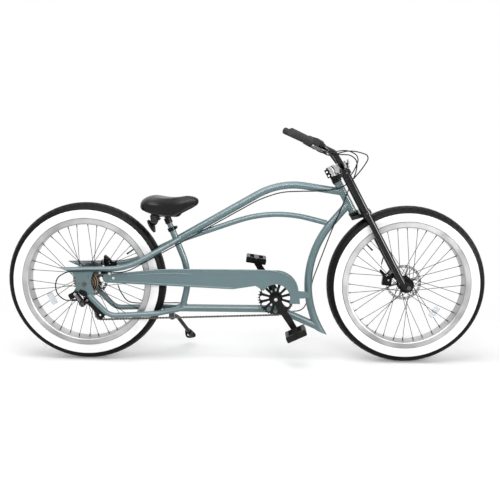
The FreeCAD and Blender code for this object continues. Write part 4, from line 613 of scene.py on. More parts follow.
@dataclass(frozen=True)
class RoundFinish(Finish):
    """A finish laid out round a wheel's axle."""

    axle: Point = (0.0, 0.0, 0.0)

    def _vector(self, graph: Graph, source: Socket) -> Socket:
        """Coordinates centred on the axle."""
        away = tuple(-value for value in self.axle)
        return graph.add("Mapping", {"Location": away, "Vector": source})["Vector"]

    def _round(self, graph: Graph, vector: Socket) -> bpy.types.bpy_prop_collection:
        """The outputs that give radius, turn and distance across."""
        return graph.add("Group", {"Vector": vector}, node_tree=Effects.radial())


@dataclass(frozen=True)
class WhitewallFinish(RoundFinish):
    """Black rubber with a white band on the side walls."""

    white: Colour = (0.95, 0.95, 0.945)
    band_inner: float = 0.2862
    band_outer: float = 0.3225
    side: float = 0.028
    edge: float = 0.0006

    def _colour(self, graph: Graph, vector: Socket, tone: Socket) -> Socket:
        """White between two radii on the sides, black elsewhere."""
        ring = self._round(graph, vector)
        masks = [graph.ramp(ring[socket], limits) for socket, limits in (
            ("Radius", (self.band_inner - self.edge, self.band_inner)),
            ("Radius", (self.band_outer + self.edge, self.band_outer)),
            ("Across", (self.side, self.side + self.edge)))]
        return graph.mix(graph.product(masks), self._toned(graph, self.colour, tone),
                         self._toned(graph, self.white, tone))


@dataclass(frozen=True)
class BrushedFinish(RoundFinish):
    """Metal brushed round the wheel."""

    lines: Tuple[Tuple[str, str, float], ...] = (
        ("X", "Radius", 1800.0), ("Y", "Turn", 7.0), ("Z", "Across", 1800.0))

    def _height(self, graph: Graph, vector: Socket, grain: Socket) -> Socket:
        """Fine lines that run round the axle."""
        ring = self._round(graph, vector)
        scaled = {axis: graph.math("MULTIPLY", ring[socket], scale) for axis, socket, scale in self.lines}
        place = graph.add("CombineXYZ", scaled)["Vector"]
        return graph.add("TexNoise", {"Vector": place, "Scale": 1.0, "Detail": 2.0})["Fac"]


@dataclass(frozen=True)
class CellFinish(Finish):
    """A moulded or hide-like finish with a cell pattern."""

    cell_scale: float = 300.0
    grain_share: float = 0.25

    def _height(self, graph: Graph, vector: Socket, grain: Socket) -> Socket:
        """Rounded cells with the fine grain over them."""
        cells = graph.add("TexVoronoi", {"Scale": self.cell_scale, "Vector": vector})["Distance"]
        return graph.math("MULTIPLY_ADD", grain, self.grain_share, cells)


@dataclass(frozen=True)
class TwoToneFinish(Finish):
    """A finish with a second colour on the far side of one or more planes."""

    second: Colour = (0.01, 0.01, 0.01)
    planes: Tuple[Tuple[Point, Point], ...] = ()
    edge: float = 0.0004

    def _colour(self, graph: Graph, vector: Socket, tone: Socket) -> Socket:
        """The second colour where every plane has the point on its outer side."""
        masks = []
        for origin, normal in self.planes:
            offset = graph.add("VectorMath", {0: vector, 1: origin}, operation="SUBTRACT")["Vector"]
            reach = graph.add("VectorMath", {0: offset, 1: normal}, operation="DOT_PRODUCT")["Value"]
            masks.append(graph.ramp(reach, (0.0, self.edge)))
        return graph.mix(graph.product(masks), self._toned(graph, self.colour, tone),
                         self._toned(graph, self.second, tone))


@dataclass(frozen=True)
class CogFinish(RoundFinish):
    """Stacked cogs: rings in the cogs' own colour, parted by rings of painted shade at each cog's edge."""

    # painted shade: the dark colour painted in rings between the cogs, standing in for the shadow each cog's edge
    # casts on the next
    gap: Colour = (0.012, 0.010, 0.008)
    pitch: float = 0.0081
    blur: float = 0.3

    def _colour(self, graph: Graph, vector: Socket, tone: Socket) -> Socket:
        """Rings round the axle: the cogs' own colour, parted by rings of painted shade."""
        turns = graph.math("MULTIPLY", self._round(graph, vector)["Radius"], 2 * math.pi / self.pitch)
        # mask of the rings of painted shade between the cogs
        step = graph.ramp(graph.math("SINE", turns), (-self.blur, self.blur))
        return graph.mix(step, (*self.gap, 1.0), self._toned(graph, self.colour, tone))


class Look(Enum):
    """The finishes of the bicycle's pieces."""

    PAINT = Finish("grey_blue_paint", (0.093, 0.157, 0.171), 0.34, coat=0.5, coat_roughness=0.08,
                   grain_scale=260.0, grain_depth=0.003, variation=0.05, dust=0.05)
    WELD = replace(PAINT, name="painted_weld", grain_scale=420.0, grain_depth=0.5, variation=0.06)
    GLOSS_BLACK = Finish("gloss_black_paint", BLACK_PAINT, 0.09, grain_scale=300.0, grain_depth=0.008,
                         variation=0.2, gloss_change=0.04, dust=0.01, specular=0.28)
    SATIN_BLACK = Finish("satin_black_metal", BLACK_PAINT, 0.19, grain_scale=700.0, grain_depth=0.05,
                         variation=0.25, dust=0.02, specular=0.17)
    SPOKE_BLACK = Finish("black_spoke_wire", BLACK_PAINT, 0.4, grain_scale=900.0, grain_depth=0.02,
                         variation=0.2, specular=0.05)
    PLASTIC = CellFinish("black_moulded_plastic", (0.007, 0.007, 0.0075), 0.30, grain_depth=0.08,
                         variation=0.2, cell_scale=900.0, dust=0.03, specular=0.14)
    RUBBER = Finish("black_rubber", (0.004, 0.004, 0.004), 0.42, grain_scale=900.0, grain_depth=0.15,
                    variation=0.25, specular=0.06)
    LEVER_ALLOY = Finish("dark_polished_alloy", (0.16, 0.16, 0.165), 0.18, metallic=1.0, grain_scale=600.0,
                         grain_depth=0.02, variation=0.25)
    STEEL = Finish("bright_steel", (0.62, 0.62, 0.62), 0.2, metallic=1.0, grain_scale=800.0,
                   grain_depth=0.05, variation=0.2, dust=0.03)
    DARK_STEEL = Finish("oiled_steel", (0.10, 0.095, 0.09), 0.32, metallic=1.0, grain_scale=800.0,
                        grain_depth=0.08, variation=0.4, dust=0.04)
    LENS = CellFinish("clear_reflector", (0.66, 0.69, 0.72), 0.12, coat=1.0, grain_depth=0.6,
                      variation=0.1, cell_scale=330.0)
    RED_LENS = replace(LENS, name="red_reflector", colour=(0.36, 0.010, 0.010))
    VINYL = CellFinish("black_saddle_vinyl", (0.003, 0.0028, 0.0026), 0.34, grain_depth=0.05,
                       variation=0.2, cell_scale=620.0, specular=0.24)

    def material(self) -> bpy.types.Material:
        """The look's material, made on first use."""
        return bpy.data.materials.get(self.value.name) or self.value.material()


# Studio

@dataclass
class Studio:
    """The camera at the photograph's angle, soft lamps, a white world and a pale floor."""

    eye: Point = (0.039, -3.504, 1.048)
    pitch: float = 8.893
    yaw: float = -0.410
    roll: float = 0.603
    lens: float = 57.34
    sensor: float = 36.0
    ambient: float = 0.44
    aim: Point = (0.0, 0.0, 0.45)
    lamps: Tuple[Tuple[str, Point, Flat, float], ...] = (
        ("key", (0.6, -3.45, 1.9), (4.0, 0.9), 66.0), ("top", (-0.4, -0.9, 3.4), (3.0, 2.4), 70.0),
        ("back", (0.4, 3.0, 2.8), (2.8, 2.0), 22.0))
    cards: Tuple[Tuple[str, Point, Flat, float], ...] = (
        ("upper_card", (-0.2, -2.5, 2.5), (5.0, 0.5), 13.0), ("right_card", (2.9, -1.7, 1.2), (1.0, 0.9), 26.0))
    floor_size: float = 60.0
    floor_level: float = -0.0005
    floor_grey: float = 0.90
    floor_roughness: float = 0.9
    floor_lift: float = 0.17
    floor_fade: Flat = (0.9, 2.2)

    def build(self) -> None:
        """Set up everything that isn't the bicycle."""
        self._camera()
        self._world()
        self._floor()
        for name, place, size, power in self.lamps:
            self._lamp(name, place, size, power)
        for name, place, size, glow in self.cards:
            self._card(name, place, size, glow)
        bpy.context.scene.view_settings.view_transform = "Standard"
        LOG.info("studio ready")

    def _camera(self) -> None:
        """Stand the camera where the photograph was taken."""
        data = bpy.data.cameras.new("camera")
        data.lens = self.lens
        data.sensor_width = self.sensor
        camera = linked("camera", data)
        pitch, yaw, roll = (math.radians(value) for value in (self.pitch, self.yaw, self.roll))
        ahead = Vector((math.sin(yaw) * math.cos(pitch), math.cos(yaw) * math.cos(pitch), -math.sin(pitch)))
        right = Vector((math.cos(yaw), -math.sin(yaw), 0.0))
        side = right * math.cos(roll) + right.cross(ahead) * math.sin(roll)
        camera.matrix_world = lying(self.eye, side, -ahead)
        bpy.context.scene.camera = camera

    def _seen(self, graph: Graph) -> Socket:
        """A mask of the rays that meet plain white: camera, glossy and transmission rays."""
        path = graph.add("LightPath", {})
        seen = graph.math("MAXIMUM", path["Is Camera Ray"], path["Is Glossy Ray"])
        return graph.math("MAXIMUM", seen, path["Is Transmission Ray"])

    def _world(self) -> None:
        """A white background with a softer light from it."""
        world = bpy.data.worlds.new("studio")
        world.use_nodes = True
        bpy.context.scene.world = world
        graph = Graph(world.node_tree)
        light = graph.join(graph.nodes["Background"], {"Color": WHITE, "Strength": self.ambient})
        white = graph.add("Background", {"Color": WHITE})
        mix = graph.add("MixShader", {"Fac": self._seen(graph), 1: light.outputs["Background"],
                                      2: white["Background"]})
        graph.join(graph.nodes["World Output"], {"Surface": mix["Shader"]})

    def _floor(self) -> None:
        """A wide pale floor that keeps the bicycle's shadow and turns white further out."""
        clear_selection()
        bpy.ops.mesh.primitive_plane_add(size=self.floor_size, location=(0.0, 0.0, self.floor_level))
        floor = bpy.context.active_object
        floor.name = "floor"
        made = bpy.data.materials.new("pale_floor")
        made.use_nodes = True
        graph = Graph(made.node_tree)
        grey = (self.floor_grey, self.floor_grey, self.floor_grey, 1.0)
        shader = graph.join(graph.nodes["Principled BSDF"], {
            "Base Color": grey, "Roughness": self.floor_roughness, "Specular IOR Level": 0.0})
        seen = self._seen(graph)
        lift = graph.add("Emission", {"Strength": graph.math("MULTIPLY", seen, self.floor_lift)})
        near = graph.add("AddShader", {0: shader.outputs["BSDF"], 1: lift["Emission"]})
        reach = graph.add("VectorMath", {0: graph.add("TexCoord", {})["Object"]}, operation="LENGTH")
        fade = graph.ramp(reach["Value"], self.floor_fade, interpolation_type="SMOOTHSTEP")
        ground = graph.add("MixShader", {"Fac": graph.math("MULTIPLY", fade, seen), 1: near["Shader"],
                                         2: graph.add("Emission", {})["Emission"]})
        graph.join(graph.nodes["Material Output"], {"Surface": ground["Shader"]})
        paint(floor, made)

    def _lamp(self, name: str, place: Point, size: Flat, power: float) -> bpy.types.Object:
        """One soft box that looks at the bicycle's middle.

        Args:
            name: the lamp's name.
            place: where it hangs.
            size: its width and height.
            power: its strength in watts.

        Returns:
            The lamp.
        """
        data = bpy.data.lights.new(name, "AREA")
        data.shape = "RECTANGLE"
        data.size, data.size_y = size
        data.energy = power
        lamp = linked(name, data)
        lamp.matrix_world = facing(place, Vector(place) - Vector(self.aim))
        lamp.visible_camera = False
        return lamp

    def _card(self, name: str, place: Point, size: Flat, glow: float) -> None:
        """A bright card that shows only in glossy surfaces, as a line along each tube."""
        lamp = self._lamp(name, place, size, glow * math.pi * size[0] * size[1])
        lamp.visible_diffuse = False

    def keep_off(self, name: str, piece: bpy.types.Object) -> None:
        """Stop a card from showing in one piece.

        Args:
            name: the card's name.
            piece: the piece that it leaves alone.
        """
        spared = bpy.data.collections.new(name + "_spared")
        spared.objects.link(piece)
        bpy.data.objects[name].light_linking.receiver_collection = spared
        for member in spared.collection_objects:
            member.light_linking.link_state = "EXCLUDE"


# The bicycle

@dataclass
class Wheel:
    """One wheel: a tyre with raised tread blocks, its valve cap and the finishes of its solids."""

    name: str
    axle: Point
    valve_angle: float
    body: str
    rotor_face: float
    radius: float = 0.3529
    groove: float = 0.0018
    block_edge: float = 0.0012
    block_share: float = 0.9
    tread_margin: float = 0.0005
    crease: float = 40.0
    shoulder: Flat = (0.3385, 0.0364)
    widest: Flat = (0.317, 0.0450)
    bead: Flat = (0.2868, 0.0384)
    toe: Flat = (0.2745, 0.0384)
    wall_steps: int = 9
    blocks: int = 132
    rows: int = 7
    bolts: int = 6
    bolt_circle: float = 0.022
    valve_end: float = 0.2135
    cap: Line = ((0.0, 0.0), (0.0036, 0.0), (0.0040, 0.002), (0.0040, 0.009), (0.0036, 0.011), (0.0, 0.011))

    def build(self, solids: Solids) -> None:
        """Make and dress the wheel.

        Args:
            solids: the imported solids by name.
        """
        tyre = self._tyre()
        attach(tyre, self.body)
        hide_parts(self.name + "_tyre")
        self._valve_cap()
        self._rotor_bolts()
        rim = BrushedFinish(self.name + "_rim_alloy", (0.40, 0.40, 0.405), 0.42, metallic=1.0, grain_depth=0.1,
                            variation=0.42, gloss_change=0.2, axle=self.axle)
        disc = BrushedFinish(self.name + "_disc_steel", (0.34, 0.34, 0.345), 0.26, metallic=1.0, grain_depth=0.2,
                             variation=0.2, axle=self.axle)
        paint(solids[self.name + "_rim"], rim.material())
        paint(solids[self.name + "_rotor"], disc.material())
        for part, look in (("_spokes", Look.SPOKE_BLACK), ("_hub", Look.SATIN_BLACK), ("_inner_tube", Look.RUBBER),
                           ("_wheel_reflector", Look.LENS), ("_axle", Look.DARK_STEEL)):
            dress(solids, look, self.name + part)
        LOG.info("%s wheel dressed", self.name)

    def _outline(self) -> List[Flat]:
        """The tyre's closed section as (radius, across) points."""
        side = [self.toe]
        (r0, y0), (r1, y1), (r2, y2) = self.bead, self.widest, self.shoulder
        for step in range(self.wall_steps + 1):
            t = step / self.wall_steps
            a, b, c = (1 - t) * (1 - 2 * t), 4 * t * (1 - t), t * (2 * t - 1)
            side.append((a * r0 + b * r1 + c * r2, a * y0 + b * y1 + c * y2))
        crown = []
        base = self.radius - self.groove
        for row in range(1, self.rows):
            across = y2 * (1 - 2 * row / self.rows)
            crown.append((r2 + (base - r2) * (1 - (across / y2) ** 2), across))
        return side + crown + [(radius, -across) for radius, across in reversed(side)] + [self.toe]

    def _tyre(self) -> bpy.types.Object:
        """Turn the tyre, then raise its tread blocks between the grooves."""
        tyre = turned(self.name + "_balloon_tyre", self._outline(), self.blocks * 2)
        inner, half = self.shoulder
        limit = half - self.tread_margin

        def is_block(face: bpy.types.MeshPolygon) -> bool:
            """Pairs of faces on the tread, staggered from row to row."""
            x, y, z = face.center
            if math.hypot(x, y) < inner or abs(z) > limit:
                return False
            row = int((z + half) / (2 * half) * self.rows)
            column = math.atan2(y, x) / math.pi * self.blocks
            shift = abs(row - self.rows // 2)
            return int(column + shift + 4 * self.blocks) % 4 != 0

        choose_faces(tyre, is_block)
        bpy.ops.mesh.inset(thickness=self.block_edge, depth=self.groove * self.block_share, use_individual=False)
        bpy.ops.object.mode_set(mode="OBJECT")
        settle(tyre, Matrix.Translation(Vector(self.axle)) @ Matrix.Rotation(math.pi / 2, 4, "X"))
        soften(tyre, self.crease)
        finish = WhitewallFinish(self.name + "_whitewall_rubber", BLACK_PAINT, 0.46, grain_scale=700.0,
                                 grain_depth=0.12, variation=0.08, specular=0.10, axle=self.axle)
        paint(tyre, finish.material())
        return tyre

    def _around(self, angle: float, reach: float, across: float = 0.0) -> Vector:
        """A point at an angle in degrees and a distance from the axle."""
        turn = math.radians(angle)
        return Vector(self.axle) + Vector((math.cos(turn) * reach, across, math.sin(turn) * reach))

    def _rotor_bolts(self) -> None:
        """The bolts that hold the brake disc on the hub."""
        spread = 360 // self.bolts
        Fastener(0.0034, 0.0022, self.body, Look.STEEL).fit([
            ("%s_rotor_bolt_%d" % (self.name, step),
             tuple(self._around(spread * step + spread // 2, self.bolt_circle, self.rotor_face)), LEFT)
            for step in range(self.bolts)])

    def _valve_cap(self) -> None:
        """A small cap on the valve."""
        cap = turned(self.name + "_valve_cap", self.cap, steps=14)
        angle = math.radians(self.valve_angle)
        out = Vector((math.cos(angle), 0.0, math.sin(angle)))
        add_piece(cap, self.body, Look.PLASTIC,
                  facing(self._around(self.valve_angle, self.valve_end), out))


@dataclass
class Saddle:
    """The padded saddle: a stuffed vinyl cover, its piping and the blocks under it."""

    stations: Tuple[Tuple[float, float, float, float, float], ...] = (
        (-0.471, 0.118, 0.689, 0.700, 0.714), (-0.452, 0.188, 0.668, 0.703, 0.733),
        (-0.416, 0.226, 0.657, 0.704, 0.741), (-0.370, 0.196, 0.647, 0.700, 0.734),
        (-0.328, 0.124, 0.642, 0.696, 0.729), (-0.288, 0.076, 0.662, 0.702, 0.733),
        (-0.250, 0.058, 0.684, 0.712, 0.741), (-0.224, 0.048, 0.693, 0.714, 0.737),
        (-0.212, 0.026, 0.703, 0.714, 0.726))
    foot: float = 0.78
    waist: float = 0.92
    waist_rise: float = 0.4
    roundness: float = 0.8
    shrink: float = 0.003
    most: float = 0.005
    voxel: float = 0.005
    around: int = 14
    pressure: float = 4.0
    frames: int = 20
    piping: float = 0.0022
    piping_steps: int = 4
    piping_place: Flat = (0.84, 0.006)
    piping_back: Point = (0.001, 0.30, 0.004)
    reflector: Point = (-0.428, 0.0, 0.600)
    reflector_way: Point = (-0.866, 0.0, -0.5)
    lens: Line = ((0.0, 0.0), (0.0285, 0.0), (0.0285, 0.001), (0.026, 0.0022), (0.012, 0.0028), (0.0, 0.0028))
    bumper: Point = (-0.404, 0.046, 0.622)
    bumper_ribs: int = 4
    bumper_pitch: float = 0.0088
    bumper_core: float = 0.011
    bumper_rib: float = 0.0165
    bumper_foot: float = 0.002
    bumper_neck: float = 0.016
    bumper_slopes: Point = (0.0022, 0.0026, 0.0006)
    bumper_lean: Flat = (-0.12, 0.18)

    def build(self, solids: Solids) -> bpy.types.Object:
        """Make and dress the seat.

        Args:
            solids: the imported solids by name.

        Returns:
            The saddle's cover.
        """
        cover = self._cover()
        paint(cover, Look.VINYL.material())
        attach(cover, "seat")
        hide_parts("saddle")
        piping = wire_along("saddle_piping", self._edge_line(cover), self.piping)
        add_piece(piping, "seat", Look.RUBBER)
        self._bumpers()
        dress(solids, Look.PAINT, "seat_post")
        dress(solids, Look.SATIN_BLACK, "saddle_frame")
        dress(solids, Look.PLASTIC, "rear_reflector")
        lens = turned("rear_reflector_lens", self.lens, steps=40)
        add_piece(lens, "seat", Look.RED_LENS, facing(self.reflector, self.reflector_way))
        LOG.info("saddle dressed")
        return cover

    def _bumpers(self) -> None:
        """Two ribbed rubber blocks under the saddle's broad end."""
        core, rib, pitch = self.bumper_core, self.bumper_rib, self.bumper_pitch
        rise, fall, gap = self.bumper_slopes
        outline = [(0.0, 0.0), (core, 0.0)]
        for step in range(self.bumper_ribs):
            base = self.bumper_foot + step * pitch
            outline += [(core, base), (rib, base + rise), (rib, base + pitch - fall), (core, base + pitch - gap)]
        top = self.bumper_foot + self.bumper_ribs * pitch
        outline += [(core, top), (core, top + self.bumper_neck), (0.0, top + self.bumper_neck)]
        (x, across, height), (back, aside) = self.bumper, self.bumper_lean
        for side, way in SIDES:
            block = turned("saddle_bumper_" + side, outline, steps=24)
            add_piece(block, "seat", Look.RUBBER,
                      facing((x, way * across, height), (back, way * aside, 1.0)))

    def _section(self, width: float, low: float, shoulder: float, crown: float) -> List[Flat]:
        """One section of the cover as (across, height) points, from the left foot over the top.

        Args:
            width: the section's full width.
            low: the height of its lower edge.
            shoulder: the height of its widest line.
            crown: the height of its top.

        Returns:
            Points round the section, the flat underside left open between its ends.
        """
        half = width / 2 - self.shrink
        middle = low * (1 - self.waist_rise) + shoulder * self.waist_rise
        points = [(half * self.foot, low + self.shrink), (half * self.waist, middle)]
        for step in range(self.around + 1):
            angle = math.pi * step / self.around
            rise = math.sin(angle) ** self.roundness
            points.append((half * math.cos(angle), shoulder + (crown - self.shrink - shoulder) * rise))
        return points + [(-across, height) for across, height in reversed(points[:2])]

    def _cover(self) -> bpy.types.Object:
        """Loft the stations, stuff the form and smooth it."""
        vertices, faces = [], []
        for x, *sizes in self.stations:
            vertices += [(x, across, height) for across, height in self._section(*sizes)]
        count = len(vertices) // len(self.stations)
        for row in range(len(self.stations) - 1):
            for step in range(count):
                a, b = row * count + step, row * count + (step + 1) % count
                faces.append((a, b, b + count, a + count))
        faces.append(tuple(range(count)))
        faces.append(tuple(reversed(range(len(vertices) - count, len(vertices)))))
        mesh = bpy.data.meshes.new("saddle_cover")
        mesh.from_pydata(vertices, [], faces)
        cover = linked("saddle_cover", mesh)
        edit_all(cover)
        face_outwards()
        self._subdivide(cover, 2)
        cover.data.remesh_voxel_size = self.voxel
        bpy.ops.object.voxel_remesh()
        self._stuff(cover)
        self._subdivide(cover, 1)
        bpy.ops.object.shade_smooth()
        return cover

    def _subdivide(self, cover: bpy.types.Object, levels: int) -> None:
        """Smooth the cover with an applied subdivision."""
        smooth = cover.modifiers.new("smooth", "SUBSURF")
        smooth.levels = smooth.render_levels = levels
        bpy.ops.object.modifier_apply(modifier=smooth.name)

    def _stuff(self, cover: bpy.types.Object) -> None:
        """Blow the cover up a little as cloth over its foam.

        Args:
            cover: the closed cover, changed in place.
        """
        start = [vertex.co.copy() for vertex in cover.data.vertices]
        cloth = cover.modifiers.new("stuffing", "CLOTH")
        cloth.settings.use_pressure = True
        cloth.settings.uniform_pressure_force = self.pressure
        cloth.settings.effector_weights.gravity = 0.0
        scene = bpy.context.scene
        for frame in range(1, self.frames + 1):
            scene.frame_set(frame)
        blown = cover.evaluated_get(bpy.context.evaluated_depsgraph_get()).to_mesh()
        moved = [vertex.co.copy() for vertex in blown.vertices]
        cover.modifiers.remove(cloth)
        for vertex, old, new in zip(cover.data.vertices, start, moved):
            step = new - old
            if step.length > self.most:
                step *= self.most / step.length
            vertex.co = old + step
        scene.frame_set(1)

    def _edge_line(self, cover: bpy.types.Object) -> List[Point]:
        """The line of the piping: down one side of the lower edge, round the back and up the other.

        Args:
            cover: the finished cover, which the line lies on.

        Returns:
            Points of the line, in order.
        """
        share, rise = self.piping_place
        side = [Vector((x, (width / 2) * share, low + rise)) for x, width, low, *_ in reversed(self.stations[1:-1])]
        x, width, low = self.stations[0][:3]
        ahead, share, rise = self.piping_back
        side.append(Vector((x + ahead, width * share, low + rise)))
        line = side + [point * MIRROR for point in reversed(side)]
        points = []
        for start, end in zip(line, line[1:]):
            for step in range(self.piping_steps):
                near = cover.closest_point_on_mesh(start.lerp(end, step / self.piping_steps))
                points.append(tuple(near[1]))
        return points


@dataclass
class Grip:
    """A ribbed rubber grip on one end of the bar."""

    name: str
    end: Vector
    inward: Vector
    length: float
    radius: float = 0.0163
    bore: float = 0.0112
    first_rib: float = 0.010
    last_rib: float = 0.016
    rib_pitch: float = 0.006
    rib_step: float = 0.0012
    rib: float = 0.0009
    flange: float = 0.0200
    flange_width: float = 0.004
    end_cap: float = -0.004
    end_round: Flat = (0.003, -0.001)

    def build(self) -> bpy.types.Object:
        """Turn the grip with its ribs, rounded end and inner flange.

        Returns:
            The grip, in place.
        """
        outer, inner = self.radius, self.radius - self.rib
        inset, start = self.end_round
        outline = [(0.0, self.end_cap), (outer - inset, self.end_cap), (outer, start)]
        station = self.first_rib
        while station < self.length - self.last_rib:
            outline += [(radius, station + step * self.rib_step)
                        for step, radius in enumerate((outer, inner, inner, outer))]
            station += self.rib_pitch
        flat = self.length - self.flange_width
        outline += [(outer, flat - self.flange_width), (self.flange, flat), (self.flange, self.length),
                    (self.bore, self.length)]
        grip = turned(self.name, outline, steps=32)
        add_piece(grip, "steering", Look.RUBBER, facing(self.end, self.inward))
        return grip


@dataclass
class Cockpit:
    """The steering's pieces: grips, bolts and the finishes of its solids."""

    bar_end: Point = (0.174, -0.345, 1.024)
    bar_knee: Point = (0.366, -0.105, 0.938)
    right_length: float = 0.128
    left_length: float = 0.174
    stem_bolts: Tuple[float, float] = (0.1173, 0.1353)
    stem_bolt_place: Flat = (-0.023, 0.0219)
    stem_back: float = -0.012
    upper_crown: float = 0.0983
    crown_bolt_place: Flat = (0.0466, 0.0898)
    bar_height: float = 0.1288
    bar_bolt_place: Flat = (0.0655, 0.015)
    bar_bolt_rise: float = 0.010
    reflector: Point = (0.4380, 0.0, 0.887)
    brake_face: float = 0.0330
    brake_bolts: Line = ((0.6330, 0.3860), (0.6400, 0.3640))
    ribs: int = 16
    rib_size: Tuple[float, float, float, float] = (0.034, 0.0045, 0.0016, 0.0018)
    rib_start: float = 0.006
    rib_middle: float = 0.017
    rib_radius: float = 0.0196
    rib_flare: float = 0.0045 / 0.046

    def build(self, solids: Solids) -> None:
        """Make and dress the steering.

        Args:
            solids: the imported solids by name.
        """
        end, inward = Vector(self.bar_end), (Vector(self.bar_knee) - Vector(self.bar_end)).normalized()
        right = Grip("right_grip", end, inward, self.right_length).build()
        Grip("left_grip", end * MIRROR, inward * MIRROR, self.left_length).build()
        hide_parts("grips")
        dress(solids, Look.GLOSS_BLACK, "fork_crowns", "fork_legs", "handlebar")
        dress(solids, Look.SATIN_BLACK, "lever_brackets", "front_caliper", "front_caliper_arm")
        dress(solids, Look.RUBBER, "twist_grip")
        dress(solids, Look.LEVER_ALLOY, "right_brake_lever", "left_brake_lever")
        dress(solids, Look.PLASTIC, "front_brake_cable")
        behind = tuple(-value for value in STEER_AHEAD)
        stem = TwoToneFinish("stem_alloy", (0.50, 0.50, 0.51), 0.16, metallic=1.0, grain_scale=600.0,
                             grain_depth=0.02, variation=0.2, second=(0.012, 0.012, 0.012),
                             planes=((self._steer_point((self.stem_back, 0.0), 0.0), behind),))
        paint(solids["stem"], stem.material())
        lamp = TwoToneFinish("front_reflector_plastic", (0.008, 0.008, 0.008), 0.18, grain_depth=0.05,
                             specular=0.4, second=(0.70, 0.72, 0.74),
                             planes=((self.reflector, (1.0, 0.0, 0.0)),))
        paint(solids["front_reflector"], lamp.material())
        self._bolts()
        self._twist_ribs(end, inward)
        LOG.info("cockpit dressed")

    def _steer_point(self, place: Flat, up: float, way: float = 1.0) -> Point:
        """The point so far ahead of the steering axis and to one side (1 is left), and so far up the axis."""
        middle = Vector(HEAD) + Vector(STEER_AHEAD) * place[0] + Vector(STEER_UP) * up
        return (middle.x, way * place[1], middle.z)

    def _bolts(self) -> None:
        """Clamp bolts of the stem, the crowns, the bar and the front brake."""
        bright, dark = [], []
        for side, way in SIDES:
            out = (0.0, way, 0.0)
            for index, up in enumerate(self.stem_bolts):
                place = self._steer_point(self.stem_bolt_place, up, way)
                bright.append(("stem_bolt_%s_%d" % (side, index), place, out))
            for level, up in (("upper", self.upper_crown), ("lower", -self.upper_crown)):
                place = self._steer_point(self.crown_bolt_place, up, way)
                dark.append(("%s_crown_bolt_%s" % (level, side), place, out))
            for index, rise in enumerate((-self.bar_bolt_rise, self.bar_bolt_rise)):
                place = self._steer_point(self.bar_bolt_place, self.bar_height + rise, way)
                dark.append(("bar_clamp_bolt_%s_%d" % (side, index), place, STEER_AHEAD))
        Fastener(0.0044, 0.0036, "steering", Look.STEEL).fit(bright)
        Fastener(0.0040, 0.0036, "steering", Look.DARK_STEEL).fit(dark)
        Fastener(0.0042, 0.0030, "steering", Look.STEEL).fit([
            ("front_brake_bolt_%d" % index, (x, self.brake_face, z), RIGHT)
            for index, (x, z) in enumerate(self.brake_bolts)])

    def _twist_ribs(self, end: Vector, inward: Vector) -> None:
        """Raised ribs along the turning barrel of the shifter.

        Args:
            end: the bar's right end.
            inward: the bar's direction from there.
        """
        start = end + inward * (self.right_length + self.rib_start)
        side = inward.cross(Vector((0.0, 0.0, 1.0))).normalized()
        top = side.cross(inward)
        pattern = rounded_plate("twist_rib", *self.rib_size)
        ribs = []
        for step in range(self.ribs):
            angle = 2 * math.pi * step / self.ribs
            out = side * math.cos(angle) + top * math.sin(angle)
            lean = (inward + out * self.rib_flare).normalized()
            face = (out - lean * out.dot(lean)).normalized()
            foot = start + inward * self.rib_middle + out * self.rib_radius
            ribs.append(copied(pattern, "twist_rib_%d" % step, lying(foot, lean, face)))
        bpy.data.objects.remove(pattern)
        take_up(ribs[0])
        for rib in ribs:
            rib.select_set(True)
        bpy.ops.object.join()
        joined = bpy.context.active_object
        joined.name = "twist_ribs"
        add_piece(joined, "twist_grip", Look.RUBBER)


